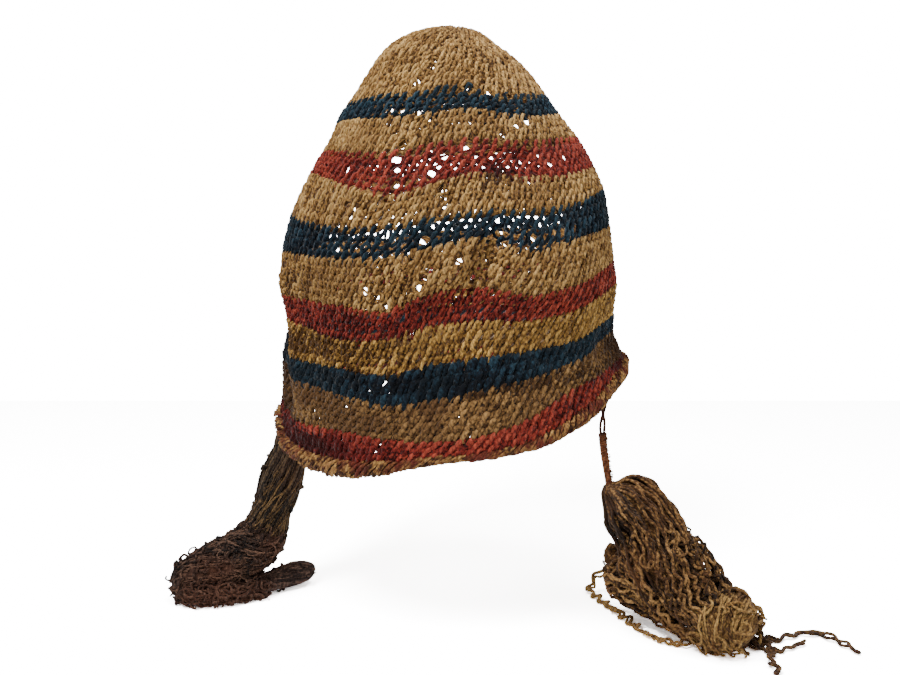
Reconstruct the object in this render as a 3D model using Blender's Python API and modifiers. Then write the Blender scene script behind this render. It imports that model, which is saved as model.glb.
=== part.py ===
"""Knitted tubular cap with a rolled hem and a tassel at each side.

Metres, +Z up. The front faces -Y and the wearer's head comes up from -Z. The origin is the place
inside the top of the crown where the head bears. Turns round the cap are degrees from the left
side (0) over the front (90) to the right side (180) and round the back (270).
"""
import math
from collections import namedtuple

import bmesh
import bpy
from mathutils import Vector

# Driving dimensions of the cap
WALL = 0.003
CAP_DROP = 0.229
CAP_WIDTH = 0.187
CAP_DEPTH = 0.176
HEM_ROLL = 0.0042
FOLD_RISE = 0.007
GAP_WIDTH = 0.0045
GAP_HEIGHT = 0.0042
SEAT_GAP = 0.0003
HEM_SAG = 0.0001

# Driving dimensions of the ties and tassels
TABLE_DROP = 0.312
TIE_CORD_WIDTH = 0.0036
TIE_CORD_DROP = 0.044
LEFT_TIE_TURN = 358.0
RIGHT_TIE_TURN = 150.0
LEFT_NECK_WIDTH = 0.024
LEFT_NECK_DROP = 0.066
LEFT_ROLL_WIDTH = 0.028
LEFT_ROLL_REACH = 0.050
LEFT_FOLD_WIDTH = 0.016
LEFT_TUFT_WIDTH = 0.016
LEFT_TUFT_REACH = 0.024
RIGHT_TASSEL_WIDTH = 0.044
RIGHT_TASSEL_REACH = 0.060
STRAY_WIDTH = 0.0032
YARN_UNEVENNESS = 0.00002

# Fineness of the faceted solids
CAP_COLUMNS = 48
CROWN_RINGS = (0.1, 0.25, 0.41, 0.57, 0.72, 0.86, 1.0)
BAND_ROWS = 2
LEAST_ROW = 0.0022
HEM_POINTS = 84
HEM_SIDES = 8
HEM_TWISTS = 18
LEFT_SIDES = 20
RIGHT_SIDES = 24
FOLD_SIDES = 16

TURNS = (0, 25, 55, 70, 85, 100, 115, 130, 160, 180, 270)

# Each band of colour from the crown down. The lower edges are shares of CAP_DROP at TURNS.
Band = namedtuple("Band", "name yarn lower_edge")
BANDS = (
    Band("crown", "tan", (.195, .183, .173, .172, .159, .159, .175, .172, .167, .168, .179)),
    Band("navy_1", "navy", (.231, .226, .227, .221, .215, .208, .215, .221, .209, .206, .218)),
    Band("tan_1", "tan", (.297, .295, .303, .299, .282, .274, .278, .273, .263, .257, .277)),
    Band("red_1", "red", (.345, .348, .376, .395, .367, .345, .351, .352, .332, .327, .336)),
    Band("tan_2", "tan", (.433, .450, .463, .459, .439, .427, .426, .417, .385, .380, .406)),
    Band("navy_2", "navy", (.528, .526, .528, .524, .498, .479, .509, .491, .473, .465, .496)),
    Band("tan_3", "tan", (.624, .624, .629, .634, .597, .586, .604, .589, .552, .548, .586)),
    Band("red_2", "red", (.662, .679, .703, .697, .668, .655, .659, .644, .607, .603, .632)),
    Band("tan_4", "golden", (.730, .760, .766, .775, .753, .735, .725, .715, .684, .681, .705)),
    Band("navy_3", "navy", (.786, .789, .805, .821, .810, .788, .770, .747, .713, .709, .748)),
    Band("tan_5", "brown", (.873, .905, .902, .909, .910, .897, .864, .816, .783, .766, .820)),
    Band("red_3", "red", (.900, .941, .954, .949, .946, .932, .907, .862, .815, .792, .856)),
)
HEM_EDGE = (.917, .989, 1.000, .979, .954, .945, .932, .905, .834, .808, .889)
HEM_SIZE = (.76, .95, 1.0, .72, .50, .50, .57, .81, .90, .86, .74)

# Level sections: depth as a share of CAP_DROP, the rest of half the width and half the depth
Section = namedtuple("Section", "depth left right front back")
SECTIONS = (
    Section(0.000, 0.000, 0.000, 0.000, 0.000),
    Section(0.012, 0.207, 0.167, 0.185, 0.190),
    Section(0.041, 0.345, 0.265, 0.300, 0.310),
    Section(0.069, 0.414, 0.363, 0.385, 0.395),
    Section(0.096, 0.461, 0.437, 0.445, 0.455),
    Section(0.152, 0.548, 0.548, 0.545, 0.555),
    Section(0.208, 0.645, 0.645, 0.640, 0.650),
    Section(0.263, 0.703, 0.754, 0.725, 0.735),
    Section(0.319, 0.788, 0.834, 0.810, 0.820),
    Section(0.375, 0.863, 0.897, 0.875, 0.885),
    Section(0.431, 0.927, 0.927, 0.925, 0.935),
    Section(0.487, 0.969, 0.947, 0.955, 0.965),
    Section(0.543, 0.995, 0.966, 0.980, 0.985),
    Section(0.600, 0.986, 0.986, 0.985, 0.990),
    Section(0.658, 0.968, 0.973, 0.970, 0.985),
    Section(0.715, 0.971, 0.966, 0.970, 0.985),
    Section(0.773, 0.997, 0.997, 0.985, 0.990),
    Section(0.830, 1.000, 1.012, 1.000, 0.990),
    Section(0.891, 1.002, 1.010, 1.010, 0.990),
    Section(1.000, 1.000, 1.010, 1.010, 0.990),
)

# Creases and swellings along lines of the wall: depths are shares of CAP_DROP, spread of
# CAP_WIDTH and rise of FOLD_RISE, where a minus sinks towards the head.
Fold = namedtuple("Fold", "name turn depth end_turn end_depth spread rise")
FOLDS = (
    Fold("front_crease", 106, 0.463, 94, 0.595, 0.024, -0.75),
    Fold("front_crease_lip", 97, 0.473, 84, 0.585, 0.045, 0.45),
    Fold("crown_dent", 106, 0.330, 119, 0.323, 0.045, -0.70),
    Fold("left_fold", 4, 0.615, 20, 0.858, 0.040, -1.00),
    Fold("left_fold_lip", 18, 0.595, 37, 0.838, 0.045, 0.50),
    Fold("left_corner", 8, 0.929, 22, 0.985, 0.055, 0.35),
    Fold("left_billow", 62, 0.392, 58, 0.696, 0.130, 0.50),
    Fold("middle_hollow", 88, 0.635, 84, 0.818, 0.090, -0.45),
    Fold("right_flare", 166, 0.797, 180, 0.787, 0.060, 0.45),
    Fold("right_sink", 150, 0.737, 160, 0.726, 0.050, -0.35),
    Fold("right_billow", 128, 0.514, 132, 0.676, 0.110, 0.35),
    Fold("back_soft_left", 320, 0.443, 318, 0.797, 0.120, 0.45),
    Fold("back_crease", 262, 0.493, 275, 0.777, 0.060, -0.55),
    Fold("back_soft_right", 228, 0.392, 232, 0.716, 0.120, 0.40),
)

# Runs of stretched or dropped stitches that stand open right through the wall
Ladder = namedtuple("Ladder", "name turn depth end_turn end_depth gaps")
LADDERS = (
    Ladder("crown", 82.0, .088, 68.5, .156, 6),
    Ladder("navy_1_left", 42.0, .195, 75.5, .217, 5),
    Ladder("navy_1_right", 99.5, .164, 134.0, .184, 4),
    Ladder("tan_1_left", 47.5, .241, 56.5, .276, 2),
    Ladder("tan_1_middle", 60.5, .236, 70.5, .284, 3),
    Ladder("tan_1_right", 127.5, .230, 112.0, .262, 3),
    Ladder("red_1_left", 41.5, .325, 48.0, .336, 2),
    Ladder("red_1_dip", 69.5, .315, 71.5, .370, 3),
    Ladder("red_1_middle", 88.0, .311, 83.5, .350, 3),
    Ladder("red_1_right", 97.0, .291, 103.0, .330, 3),
    Ladder("red_1_far", 148.5, .281, 130.0, .331, 3),
    Ladder("tan_2_run", 87.5, .380, 88.5, .421, 3),
    Ladder("navy_2_left", 32.5, .514, 64.5, .498, 4),
    Ladder("navy_2_bright", 70.0, .473, 70.0, .473, 1),
    Ladder("navy_2_middle", 85.0, .455, 78.0, .515, 3),
    Ladder("navy_2_right", 106.5, .444, 107.5, .493, 3),
    Ladder("navy_2_far", 117.0, .483, 134.5, .467, 4),
    Ladder("tan_3_run", 84.5, .521, 81.0, .580, 4),
    Ladder("tan_3_middle", 92.5, .527, 91.0, .556, 2),
    Ladder("tan_3_step", 65.0, .590, 70.5, .620, 3),
    Ladder("red_2_run", 75.5, .645, 77.5, .681, 2),
    Ladder("left_shade", 26.5, .858, 23.5, .894, 2),
)

# Tracks of the yarn bundles. Each row goes outwards from the cap's side, forwards and down from
# where the bundle starts, as shares of that bundle's reach, its width and its drop. across and
# through are half sizes as shares of its width, level and upright to the track.
Station = namedtuple("Station", "out forward down across through")
LEFT_NECK = (
    Station(0.00, 0.00, 0.00, .10, .12),
    Station(0.00, 0.04, 0.20, .25, .27),
    Station(-.02, 0.25, 0.35, .35, .37),
    Station(0.03, 0.50, 0.52, .42, .48),
    Station(0.12, 0.58, 0.73, .42, .46),
    Station(0.19, 0.54, 0.88, .42, .43),
    Station(0.24, 0.50, 1.00, .47, .49),
)
LEFT_ROLL = (
    Station(0.00, 0.00, 0.00, .40, .42),
    Station(0.06, 0.04, 0.18, .48, .47),
    Station(0.22, 0.14, 0.34, .52, .48),
    Station(0.44, 0.22, 0.48, .52, .47),
    Station(0.66, 0.30, 0.59, .50, .43),
    Station(0.84, 0.40, 0.70, .42, .38),
    Station(0.96, 0.50, 0.77, .28, .28),
    Station(1.03, 0.56, 0.80, .12, .12),
)
LEFT_FOLD = (
    Station(0.98, 0.46, 0.84, .22, .24),
    Station(0.80, 0.64, 0.86, .44, .36),
    Station(0.54, 0.62, 0.86, .50, .40),
    Station(0.26, 0.42, 0.85, .50, .42),
    Station(0.00, 0.14, 0.83, .50, .46),
)
LEFT_TUFT = (
    Station(0.00, 0.00, 0.00, .48, .46),
    Station(-.42, -.48, -.06, .48, .50),
    Station(-.78, -.90, -.06, .42, .44),
    Station(-1.0, -1.16, -.04, .24, .24),
)
RIGHT_TASSEL = (
    Station(0.00, 0.00, 0.00, .05, .05),
    Station(0.02, 0.01, 0.03, .17, .16),
    Station(0.08, 0.05, 0.11, .34, .31),
    Station(0.23, 0.14, 0.28, .42, .40),
    Station(0.43, 0.27, 0.48, .45, .47),
    Station(0.64, 0.43, 0.70, .50, .46),
    Station(0.83, 0.64, 0.81, .47, .34),
)
RIGHT_UNDER = (
    Station(0.06, -.36, 0.50, .12, .12),
    Station(0.12, -.38, 0.66, .24, .24),
    Station(0.24, -.24, 0.80, .29, .22),
    Station(0.44, 0.12, 0.85, .27, .18),
    Station(0.62, 0.46, 0.86, .20, .15),
)
RIGHT_END = (
    Station(0.00, 0.00, 0.00, .47, .34),
    Station(0.14, 0.20, 0.14, .42, .32),
    Station(0.24, 0.36, 0.32, .22, .18),
)

# The tie cord's route: outwards and forwards in TIE_CORD_DROP, down in TIE_CORD_DROP
CORD_ROUTE = (
    (0.000, 0.000, 0.00, 0.55),
    (-.010, 0.012, 0.18, 0.60),
    (-.014, 0.024, 0.36, 0.80),
    (0.000, 0.046, 0.54, 1.00),
    (0.026, 0.065, 0.73, 1.00),
    (0.054, 0.080, 0.90, 0.95),
    (0.070, 0.088, 1.00, 0.85),
)

# Stray yarns: outwards, forwards and up from the right tassel's last station and the table, as
# shares of RIGHT_TASSEL_REACH
STRAYS = {
    "near": ((-.05, 0.00, .22), (.17, -.02, .10), (.23, .22, .045), (.17, .40, .03), (.16, .62, .027)),
    "far": ((-.05, .05, .13), (.20, .02, .05), (.40, -.02, .04), (.57, -.10, .03), (.74, -.08, .03),
            (.87, .10, .03), (.95, .25, .028)),
    "middle": ((-.02, .12, .13), (.12, .13, .04), (.28, .20, .03), (.44, .14, .03), (.55, .08, .028)),
}
# The yarn looped out beside the right tassel: outwards and forwards from the tassel's top and up
# from the table, as shares of RIGHT_TASSEL_REACH
SIDE_LOOP = ((.25, -.20, .42), (.06, -.70, .14), (.00, -.86, .03), (.06, -.62, .03),
             (.22, -.16, .03), (.38, .16, .03), (.57, .34, .05))

YARNS = {
    "tan": (0.42, 0.26, 0.10),
    "golden": (0.46, 0.30, 0.09),
    "brown": (0.26, 0.14, 0.055),
    "navy": (0.012, 0.035, 0.075),
    "red": (0.26, 0.030, 0.020),
}
TASSEL_LEFT_COLOUR = (0.065, 0.030, 0.018)
TASSEL_RIGHT_COLOUR = (0.130, 0.062, 0.022)
TASSEL_END_COLOUR = (0.270, 0.150, 0.050)
TIE_CORD_COLOUR = (0.160, 0.048, 0.018)


def smooth(knots, values, x):
    """Cubic curve through (knots, values) at x, held level past its ends."""
    if x <= knots[0]:
        return values[0]
    if x >= knots[-1]:
        return values[-1]
    i = max(k for k in range(len(knots) - 1) if knots[k] <= x)
    step = knots[i + 1] - knots[i]
    t = (x - knots[i]) / step

    def slope(k):
        low, high = max(k - 1, 0), min(k + 1, len(knots) - 1)
        return (values[high] - values[low]) / (knots[high] - knots[low]) * step

    h1, h2 = 2 * t**3 - 3 * t**2 + 1, t**3 - 2 * t**2 + t
    return h1 * values[i] + h2 * slope(i) + (1 - h1) * values[i + 1] + (t**3 - t**2) * slope(i + 1)


def round_the_cap(values, turn):
    """A value given at TURNS, at any turn."""
    knots = [TURNS[-1] - 360] + list(TURNS) + [360 + TURNS[0], 360 + TURNS[1]]
    ring = [values[-1]] + list(values) + [values[0], values[1]]
    return smooth(knots, ring, turn % 360)


def half_size(side, depth):
    """Half the width or depth of the cap on one side, as a share, at a depth's share."""
    knots = [math.sqrt(row.depth) for row in SECTIONS]
    values = [getattr(row, side) for row in SECTIONS]
    return smooth(knots, values, math.sqrt(max(depth, 0.0)))


def relief(turn, depth):
    """How far folds and swellings move the wall outwards."""
    total = 0.0
    for fold in FOLDS:
        middle = (fold.turn + fold.end_turn) / 2
        turned = (turn - middle + 180) % 360 - 180 + middle
        around = math.radians(1) * CAP_WIDTH / 2
        px, py = turned * around, depth * CAP_DROP
        ax, ay = fold.turn * around, fold.depth * CAP_DROP
        bx, by = fold.end_turn * around, fold.end_depth * CAP_DROP
        along = (bx - ax) ** 2 + (by - ay) ** 2
        t = min(max(((px - ax) * (bx - ax) + (py - ay) * (by - ay)) / along, 0), 1)
        away = math.hypot(px - ax - t * (bx - ax), py - ay - t * (by - ay))
        total += fold.rise * FOLD_RISE * math.exp(-((away / (fold.spread * CAP_WIDTH)) ** 2))
    return total


def wall_point(turn, depth, inward=0.0):
    """The wall's outer surface at a turn and a depth's share, or inward of it."""
    angle = math.radians(180 + turn)
    c, s = math.cos(angle), math.sin(angle)
    x = c * CAP_WIDTH / 2 * half_size("left" if c < 0 else "right", depth)
    y = s * CAP_DEPTH / 2 * half_size("front" if s < 0 else "back", depth)
    out = relief(turn, depth) - inward
    return Vector((x + out * c, y + out * s, WALL - depth * CAP_DROP))


def hem_radius(turn):
    return HEM_ROLL * round_the_cap(HEM_SIZE, turn)


def hem_point(turn):
    """Centre of the rolled hem."""
    depth = round_the_cap(HEM_EDGE, turn)
    centre = wall_point(turn, depth, inward=WALL / 2)
    return centre + Vector((0, 0, hem_radius(turn)))


def hem_steepness(turn):
    """Length along the hem for each unit level, which grows where the hem climbs."""
    ahead = hem_point(turn + 1.5) - hem_point(turn - 1.5)
    return ahead.length / math.hypot(ahead.x, ahead.y)


def wall_end(turn):
    """Depth's share at which the wall stops, just above the rolled hem."""
    clear = hem_radius(turn) + (hem_radius(turn) + SEAT_GAP + HEM_SAG) * hem_steepness(turn)
    return round_the_cap(HEM_EDGE, turn) - clear / CAP_DROP


def row_depths():
    """A list of (band index, function of turn to depth's share) for each ring of the wall."""
    rows = []
    first = BANDS[0].lower_edge
    for ring in CROWN_RINGS:
        rows.append((0, lambda turn, ring=ring: ring**2 * round_the_cap(first, turn)))
    count = BAND_ROWS * (len(BANDS) - 1)
    for index in range(1, len(BANDS)):
        upper, lower = BANDS[index - 1].lower_edge, BANDS[index].lower_edge
        for step in range(1, BAND_ROWS + 1):
            above_end = (count - len(rows) + len(CROWN_RINGS)) * LEAST_ROW / CAP_DROP
            rows.append((index, lambda turn, u=upper, w=lower, t=step / BAND_ROWS, e=above_end: min(
                round_the_cap(u, turn) * (1 - t) + round_the_cap(w, turn) * t, wall_end(turn) - e)))
    rows.append((len(BANDS), wall_end))
    return rows


def gap_places():
    """Turn and depth's share of each open gap."""
    for run in LADDERS:
        for k in range(run.gaps):
            t = k / max(run.gaps - 1, 1)
            yield (run.turn + t * (run.end_turn - run.turn), run.depth + t * (run.end_depth - run.depth))


def material(name, colour, roughness=0.9):
    made = bpy.data.materials.new(name)
    made.use_nodes = True
    shader = made.node_tree.nodes["Principled BSDF"]
    shader.inputs["Base Color"].default_value = (*colour, 1)
    shader.inputs["Roughness"].default_value = roughness
    shader.inputs["Metallic"].default_value = 0.0
    return made


def add_object(name, mesh, *materials):
    made = bpy.data.objects.new(name, mesh)
    bpy.data.collections["tubular_cap"].objects.link(made)
    for one in materials:
        made.data.materials.append(one)
    return made


def from_bmesh(name, bm):
    bmesh.ops.recalc_face_normals(bm, faces=bm.faces)
    mesh = bpy.data.meshes.new(name)
    bm.to_mesh(mesh)
    bm.free()
    mesh.shade_smooth()
    return mesh


def knitted_wall():
    """The cap's wall: a sheet of courses that follow the stripes, open at its gaps, thickened."""
    bm = bmesh.new()
    rows = row_depths()
    turns = [360 * k / CAP_COLUMNS for k in range(CAP_COLUMNS)]
    rings = [[bm.verts.new(wall_point(turn, depth(turn))) for turn in turns] for _, depth in rows]
    apex = bm.verts.new(wall_point(0, 0))
    for k in range(CAP_COLUMNS):
        bm.faces.new((apex, rings[0][k], rings[0][(k + 1) % CAP_COLUMNS]))
    waiting = list(gap_places())
    for upper, lower in zip(range(len(rows) - 1), range(1, len(rows))):
        for k in range(CAP_COLUMNS):
            after = (k + 1) % CAP_COLUMNS
            corners = (rings[upper][k], rings[lower][k], rings[lower][after], rings[upper][after])
            start, end = turns[k], turns[k] + 360 / CAP_COLUMNS
            above, below = rows[upper][1], rows[lower][1]
            band = rows[lower][0]
            inside = [p for p in waiting if start <= p[0] < end and above(p[0]) <= p[1] < below(p[0])]
            if not inside:
                bm.faces.new(corners).material_index = band
                continue
            waiting = [p for p in waiting if p not in inside]
            rim = gap_rim(inside[0], start, end, above, below)
            inner = [bm.verts.new(wall_point(*p)) for p in rim]
            for n in range(4):
                m = (n + 1) % 4
                bm.faces.new((corners[n], corners[m], inner[m], inner[n])).material_index = band
    return from_bmesh("knitted_wall", bm)


def gap_rim(place, start, end, above, below):
    """Four corners of a gap, kept inside its cell of the sheet by a margin on each side."""
    turn, depth = place
    wide = math.degrees(GAP_WIDTH / CAP_WIDTH) / max(half_size("front", depth), 0.3)
    tall = GAP_HEIGHT / 2 / CAP_DROP
    margin = (end - start) * 0.12
    left = max(turn - wide, start + margin)
    right = min(turn + wide, end - margin)
    edge = (below(turn) - above(turn)) * 0.14
    high = max(depth - tall, above(turn) + edge)
    low = min(depth + tall, below(turn) - edge)
    return (left, high), (left, low), (right, low), (right, high)


def thicken(cap):
    solid = cap.modifiers.new("wall", "SOLIDIFY")
    solid.thickness = WALL
    solid.offset = -1.0
    solid.use_even_offset = True
    solid.thickness_clamp = 0.0


def rolled_hem():
    """The hem's roll: one closed bead round the wall's lower edge, ribbed as it is twisted."""
    bm = bmesh.new()
    rings = []
    for k in range(HEM_POINTS):
        turn = 360 * k / HEM_POINTS
        centre, ahead = hem_point(turn), hem_point(turn + 1) - hem_point(turn - 1)
        along = ahead.normalized()
        out = along.cross(Vector((0, 0, 1))).normalized()
        up = out.cross(along)
        ring = []
        for n in range(HEM_SIDES):
            angle = 2 * math.pi * n / HEM_SIDES
            swell = 1 - 0.10 * (1 + math.cos(2 * angle + 2 * math.pi * HEM_TWISTS * k / HEM_POINTS)) / 2
            radius = hem_radius(turn) * swell
            ring.append(bm.verts.new(centre + radius * (math.cos(angle) * out + math.sin(angle) * up)))
        rings.append(ring)
    for k in range(HEM_POINTS):
        a, b = rings[k], rings[(k + 1) % HEM_POINTS]
        for n in range(HEM_SIDES):
            m = (n + 1) % HEM_SIDES
            bm.faces.new((a[n], a[m], b[m], b[n]))
    return from_bmesh("rolled_hem", bm)


def track_points(start, rows, outward, reach, width, drop, spacing):
    """Evenly spaced (centre, across, through) along a bundle's track."""
    def place(row):
        return Vector((start.x + outward * row.out * reach, start.y - row.forward * width,
                       start.z - row.down * drop))
    knots = [0.0]
    for one, two in zip(rows, rows[1:]):
        knots.append(knots[-1] + (place(two) - place(one)).length)
    columns = [[place(row)[axis] for row in rows] for axis in range(3)]
    columns += [[row.across * width for row in rows], [row.through * width for row in rows]]
    count = max(round(knots[-1] / spacing), len(rows) - 1)
    made = []
    for k in range(count + 1):
        x, y, z, across, through = (smooth(knots, c, knots[-1] * k / count) for c in columns)
        made.append((Vector((x, y, z)), across, through))
    return made


def heading(points):
    """The direction in which a track ends."""
    return (points[-1][0] - points[-2][0]).normalized()


def skin(name, points, level, lobes, lobe_depth, twist, sides, start=None):
    """A closed skin round a track, its section ribbed into locks that turn along it.

    It starts square to start, the direction in which the piece before it ends."""
    bm = bmesh.new()
    rings = []
    for k, (centre, across, through) in enumerate(points):
        ahead = points[min(k + 1, len(points) - 1)][0] - points[max(k - 1, 0)][0]
        along = start if start and k == 0 else ahead.normalized()
        side = (level - level.dot(along) * along).normalized()
        other = along.cross(side)
        ring = []
        for n in range(sides):
            angle = 2 * math.pi * n / sides
            rib = 1 - lobe_depth * (1 - math.cos(lobes * angle + twist * k / len(points))) / 2
            offset = rib * (across * math.cos(angle) * side + through * math.sin(angle) * other)
            place = centre + offset
            place.z = max(place.z, YARN_UNEVENNESS * ((n + k) % 3) - TABLE_DROP)
            ring.append(bm.verts.new(place))
        rings.append(ring)
    for a, b in zip(rings, rings[1:]):
        for n in range(sides):
            m = (n + 1) % sides
            bm.faces.new((a[n], a[m], b[m], b[n]))
    bm.faces.new(rings[0][::-1])
    bm.faces.new(rings[-1])
    return from_bmesh(name, bm)


def lock(name, places, width, level):
    """One loose yarn or lock of yarn, tapered at its tip, as a closed skin."""
    knots = [0.0]
    for one, two in zip(places, places[1:]):
        knots.append(knots[-1] + (two - one).length)
    count = 3 * (len(places) - 1)
    points = []
    for k in range(count + 1):
        x, y, z = (smooth(knots, [p[axis] for p in places], knots[-1] * k / count) for axis in range(3))
        size = width / 2 * (1 if k < count else 0.6)
        points.append((Vector((x, y, z)), size, size))
    return skin(name, points, level, 1, 0.0, 0.0, 6)


def fuse(base, pieces):
    """Joins pieces to the base as one solid, and leaves no loose cutter."""
    for piece in pieces:
        joint = base.modifiers.new("fuse", "BOOLEAN")
        joint.operation = "UNION"
        joint.object = piece
    shown = base.evaluated_get(bpy.context.evaluated_depsgraph_get())
    mesh = bpy.data.meshes.new_from_object(shown)
    base.modifiers.clear()
    base.data = mesh
    for piece in pieces:
        bpy.data.objects.remove(piece)


def tie_start(turn):
    """Where a tie leaves the underside of the rolled hem."""
    return hem_point(turn) - Vector((0, 0, hem_radius(turn) + SEAT_GAP))


def left_tassel(yarn):
    start = tie_start(LEFT_TIE_TURN)
    level = Vector((0, 1, 0))
    neck = track_points(start, LEFT_NECK, -1, LEFT_ROLL_REACH, LEFT_NECK_WIDTH, LEFT_NECK_DROP, 0.006)
    neck_skin = skin("left_tassel_neck", neck, level, 7, 0.22, 2.4, LEFT_SIDES)
    add_object("left_tassel_neck", neck_skin, yarn)
    below = neck[-1][0] + heading(neck) * SEAT_GAP
    drop = below.z + TABLE_DROP
    roll = track_points(below, LEFT_ROLL, -1, LEFT_ROLL_REACH, LEFT_ROLL_WIDTH, drop, 0.006)
    roll_skin = skin("left_tassel_roll", roll, level, 7, 0.16, 3.0, LEFT_SIDES, heading(neck))
    bundle = add_object("left_tassel_roll", roll_skin, yarn)
    fold = [(centre, across * LEFT_FOLD_WIDTH / LEFT_ROLL_WIDTH, through * LEFT_FOLD_WIDTH / LEFT_ROLL_WIDTH)
            for centre, across, through in
            track_points(below, LEFT_FOLD, -1, LEFT_ROLL_REACH, LEFT_ROLL_WIDTH, drop, 0.007)]
    under = add_object("fold", skin("fold", fold, level, 5, 0.16, 2.0, FOLD_SIDES), yarn)
    fuse(bundle, [under])
    tip = fold[-1][0] + heading(fold) * SEAT_GAP
    tuft = track_points(tip, LEFT_TUFT, -1, LEFT_TUFT_REACH, LEFT_TUFT_WIDTH, LEFT_TUFT_WIDTH, 0.006)
    tuft_skin = skin("left_tassel_tuft", tuft, level, 5, 0.12, 2.6, FOLD_SIDES, heading(fold))
    add_object("left_tassel_tuft", tuft_skin, yarn)


def tie_cord():
    """The right tie's cord, from the hem to the tassel's head. Returns its last two points."""
    start = tie_start(RIGHT_TIE_TURN)
    knots = [row[2] for row in CORD_ROUTE]
    curve = bpy.data.curves.new("right_tie_cord", "CURVE")
    curve.dimensions = "3D"
    curve.bevel_depth = TIE_CORD_WIDTH / 2
    curve.bevel_resolution = 2
    curve.use_fill_caps = True
    steps = 12
    spline = curve.splines.new("POLY")
    spline.points.add(steps)
    route = []
    for k in range(steps + 1):
        t = k / steps
        out, forward, size = (smooth(knots, [row[c] for row in CORD_ROUTE], t) for c in (0, 1, 3))
        place = start + TIE_CORD_DROP * Vector((out, -forward, -t))
        route.append(place)
        spline.points[k].co = (*place, 1)
        spline.points[k].radius = size
    made = bpy.data.objects.new("right_tie_cord", curve)
    bpy.data.collections["tubular_cap"].objects.link(made)
    curve.materials.append(material("tie_cord", TIE_CORD_COLOUR))
    return route[-2:]


def right_tassel(cord_end, yarn, end_yarn):
    level = Vector((0.5, 0.87, 0)).normalized()
    hanging = (cord_end[1] - cord_end[0]).normalized()
    top = cord_end[1] + hanging * SEAT_GAP
    drop = top.z + TABLE_DROP
    width, reach = RIGHT_TASSEL_WIDTH, RIGHT_TASSEL_REACH
    main = track_points(top, RIGHT_TASSEL, 1, reach, width, drop, 0.007)
    main_skin = skin("right_tassel", main, level, 8, 0.20, 2.2, RIGHT_SIDES, hanging)
    tassel = add_object("right_tassel", main_skin, yarn)
    below = track_points(top, RIGHT_UNDER, 1, reach, width, drop, 0.007)
    under = add_object("under", skin("under", below, level, 5, 0.16, 1.6, FOLD_SIDES), yarn)
    side = [Vector((top.x + reach * out, top.y - reach * forward, reach * up - TABLE_DROP))
            for out, forward, up in SIDE_LOOP]
    fuse(tassel, [under, add_object("loop", lock("loop", side, STRAY_WIDTH, level), yarn)])
    last = main[-1][0] + heading(main) * SEAT_GAP
    low = last.z + TABLE_DROP
    rest = track_points(last, RIGHT_END, 1, reach, width, low, 0.006)
    end_skin = skin("right_tassel_end", rest, level, 8, 0.16, 1.4, RIGHT_SIDES, heading(main))
    end = add_object("right_tassel_end", end_skin, end_yarn)
    strays = []
    for name, rows in STRAYS.items():
        places = [Vector((last.x + reach * (0.2 + out), last.y - reach * forward, reach * up - TABLE_DROP))
                  for out, forward, up in rows]
        strays.append(add_object(name, lock(name, places, STRAY_WIDTH, Vector((0, 0, 1))), end_yarn))
    fuse(end, strays)


def main():
    for old in list(bpy.data.objects):
        bpy.data.objects.remove(old)
    parts = bpy.data.collections.new("tubular_cap")
    bpy.context.scene.collection.children.link(parts)
    yarns = {name: material(name + "_yarn", colour) for name, colour in YARNS.items()}
    bands = [yarns[band.yarn] for band in BANDS] + [yarns["tan"]]
    cap = add_object("knitted_cap", knitted_wall(), *bands)
    thicken(cap)
    add_object("rolled_hem", rolled_hem(), yarns["tan"])
    left_tassel(material("left_tassel_yarn", TASSEL_LEFT_COLOUR))
    end = tie_cord()
    right_tassel(end, material("right_tassel_yarn", TASSEL_RIGHT_COLOUR),
                 material("right_tassel_end_yarn", TASSEL_END_COLOUR))


main()
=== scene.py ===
"""Knitted tubular cap: twelve bands of looped yarn, a rolled hem and a yarn tassel at each side.

Metres, +Z up. The front faces -Y. Turns round the cap are degrees from the left side (0) over the
front (90) to the right side (180) and round the back (270). Depths are shares of the cap's drop.
"""
from __future__ import annotations

import logging
import math
from dataclasses import dataclass, field
from enum import Enum

import bpy
import numpy as np
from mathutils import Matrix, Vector

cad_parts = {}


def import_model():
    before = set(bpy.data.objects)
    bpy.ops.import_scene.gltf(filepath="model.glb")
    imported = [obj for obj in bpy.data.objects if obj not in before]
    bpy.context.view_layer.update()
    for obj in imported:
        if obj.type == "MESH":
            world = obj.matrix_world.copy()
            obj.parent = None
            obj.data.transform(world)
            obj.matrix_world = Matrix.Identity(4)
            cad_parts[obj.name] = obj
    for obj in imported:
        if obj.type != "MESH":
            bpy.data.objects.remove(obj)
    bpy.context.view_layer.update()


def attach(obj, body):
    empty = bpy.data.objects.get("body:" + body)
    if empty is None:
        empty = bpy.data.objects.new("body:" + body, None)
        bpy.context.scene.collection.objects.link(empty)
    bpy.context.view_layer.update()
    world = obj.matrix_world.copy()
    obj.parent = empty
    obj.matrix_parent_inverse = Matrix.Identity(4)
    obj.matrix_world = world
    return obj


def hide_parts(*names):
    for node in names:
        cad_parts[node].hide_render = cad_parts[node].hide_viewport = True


LOG = logging.getLogger("tubular_cap")
BODY = "root"

# The table under the tassels, below the place where the head bears
TABLE_DROP = 0.312

# The photograph's viewpoint, its look downwards in degrees, and its lens on a frame in millimetres
EYE = np.array((0.0, -0.557, 0.228 - TABLE_DROP))
LOOK_DOWN = 8.39
LENS = 40.0
FRAME = 36.0

# Places along a yarn, and round it in radians, stop just short of where its wander starts again
NEARLY = 0.999
ROUND = 6.28

# Slot names that more than one piece is passed
LEFT_SLOT = "left_tassel_yarn"
RIGHT_SLOT = "right_tassel_yarn"
END_SLOT = "right_tassel_end_yarn"

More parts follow.
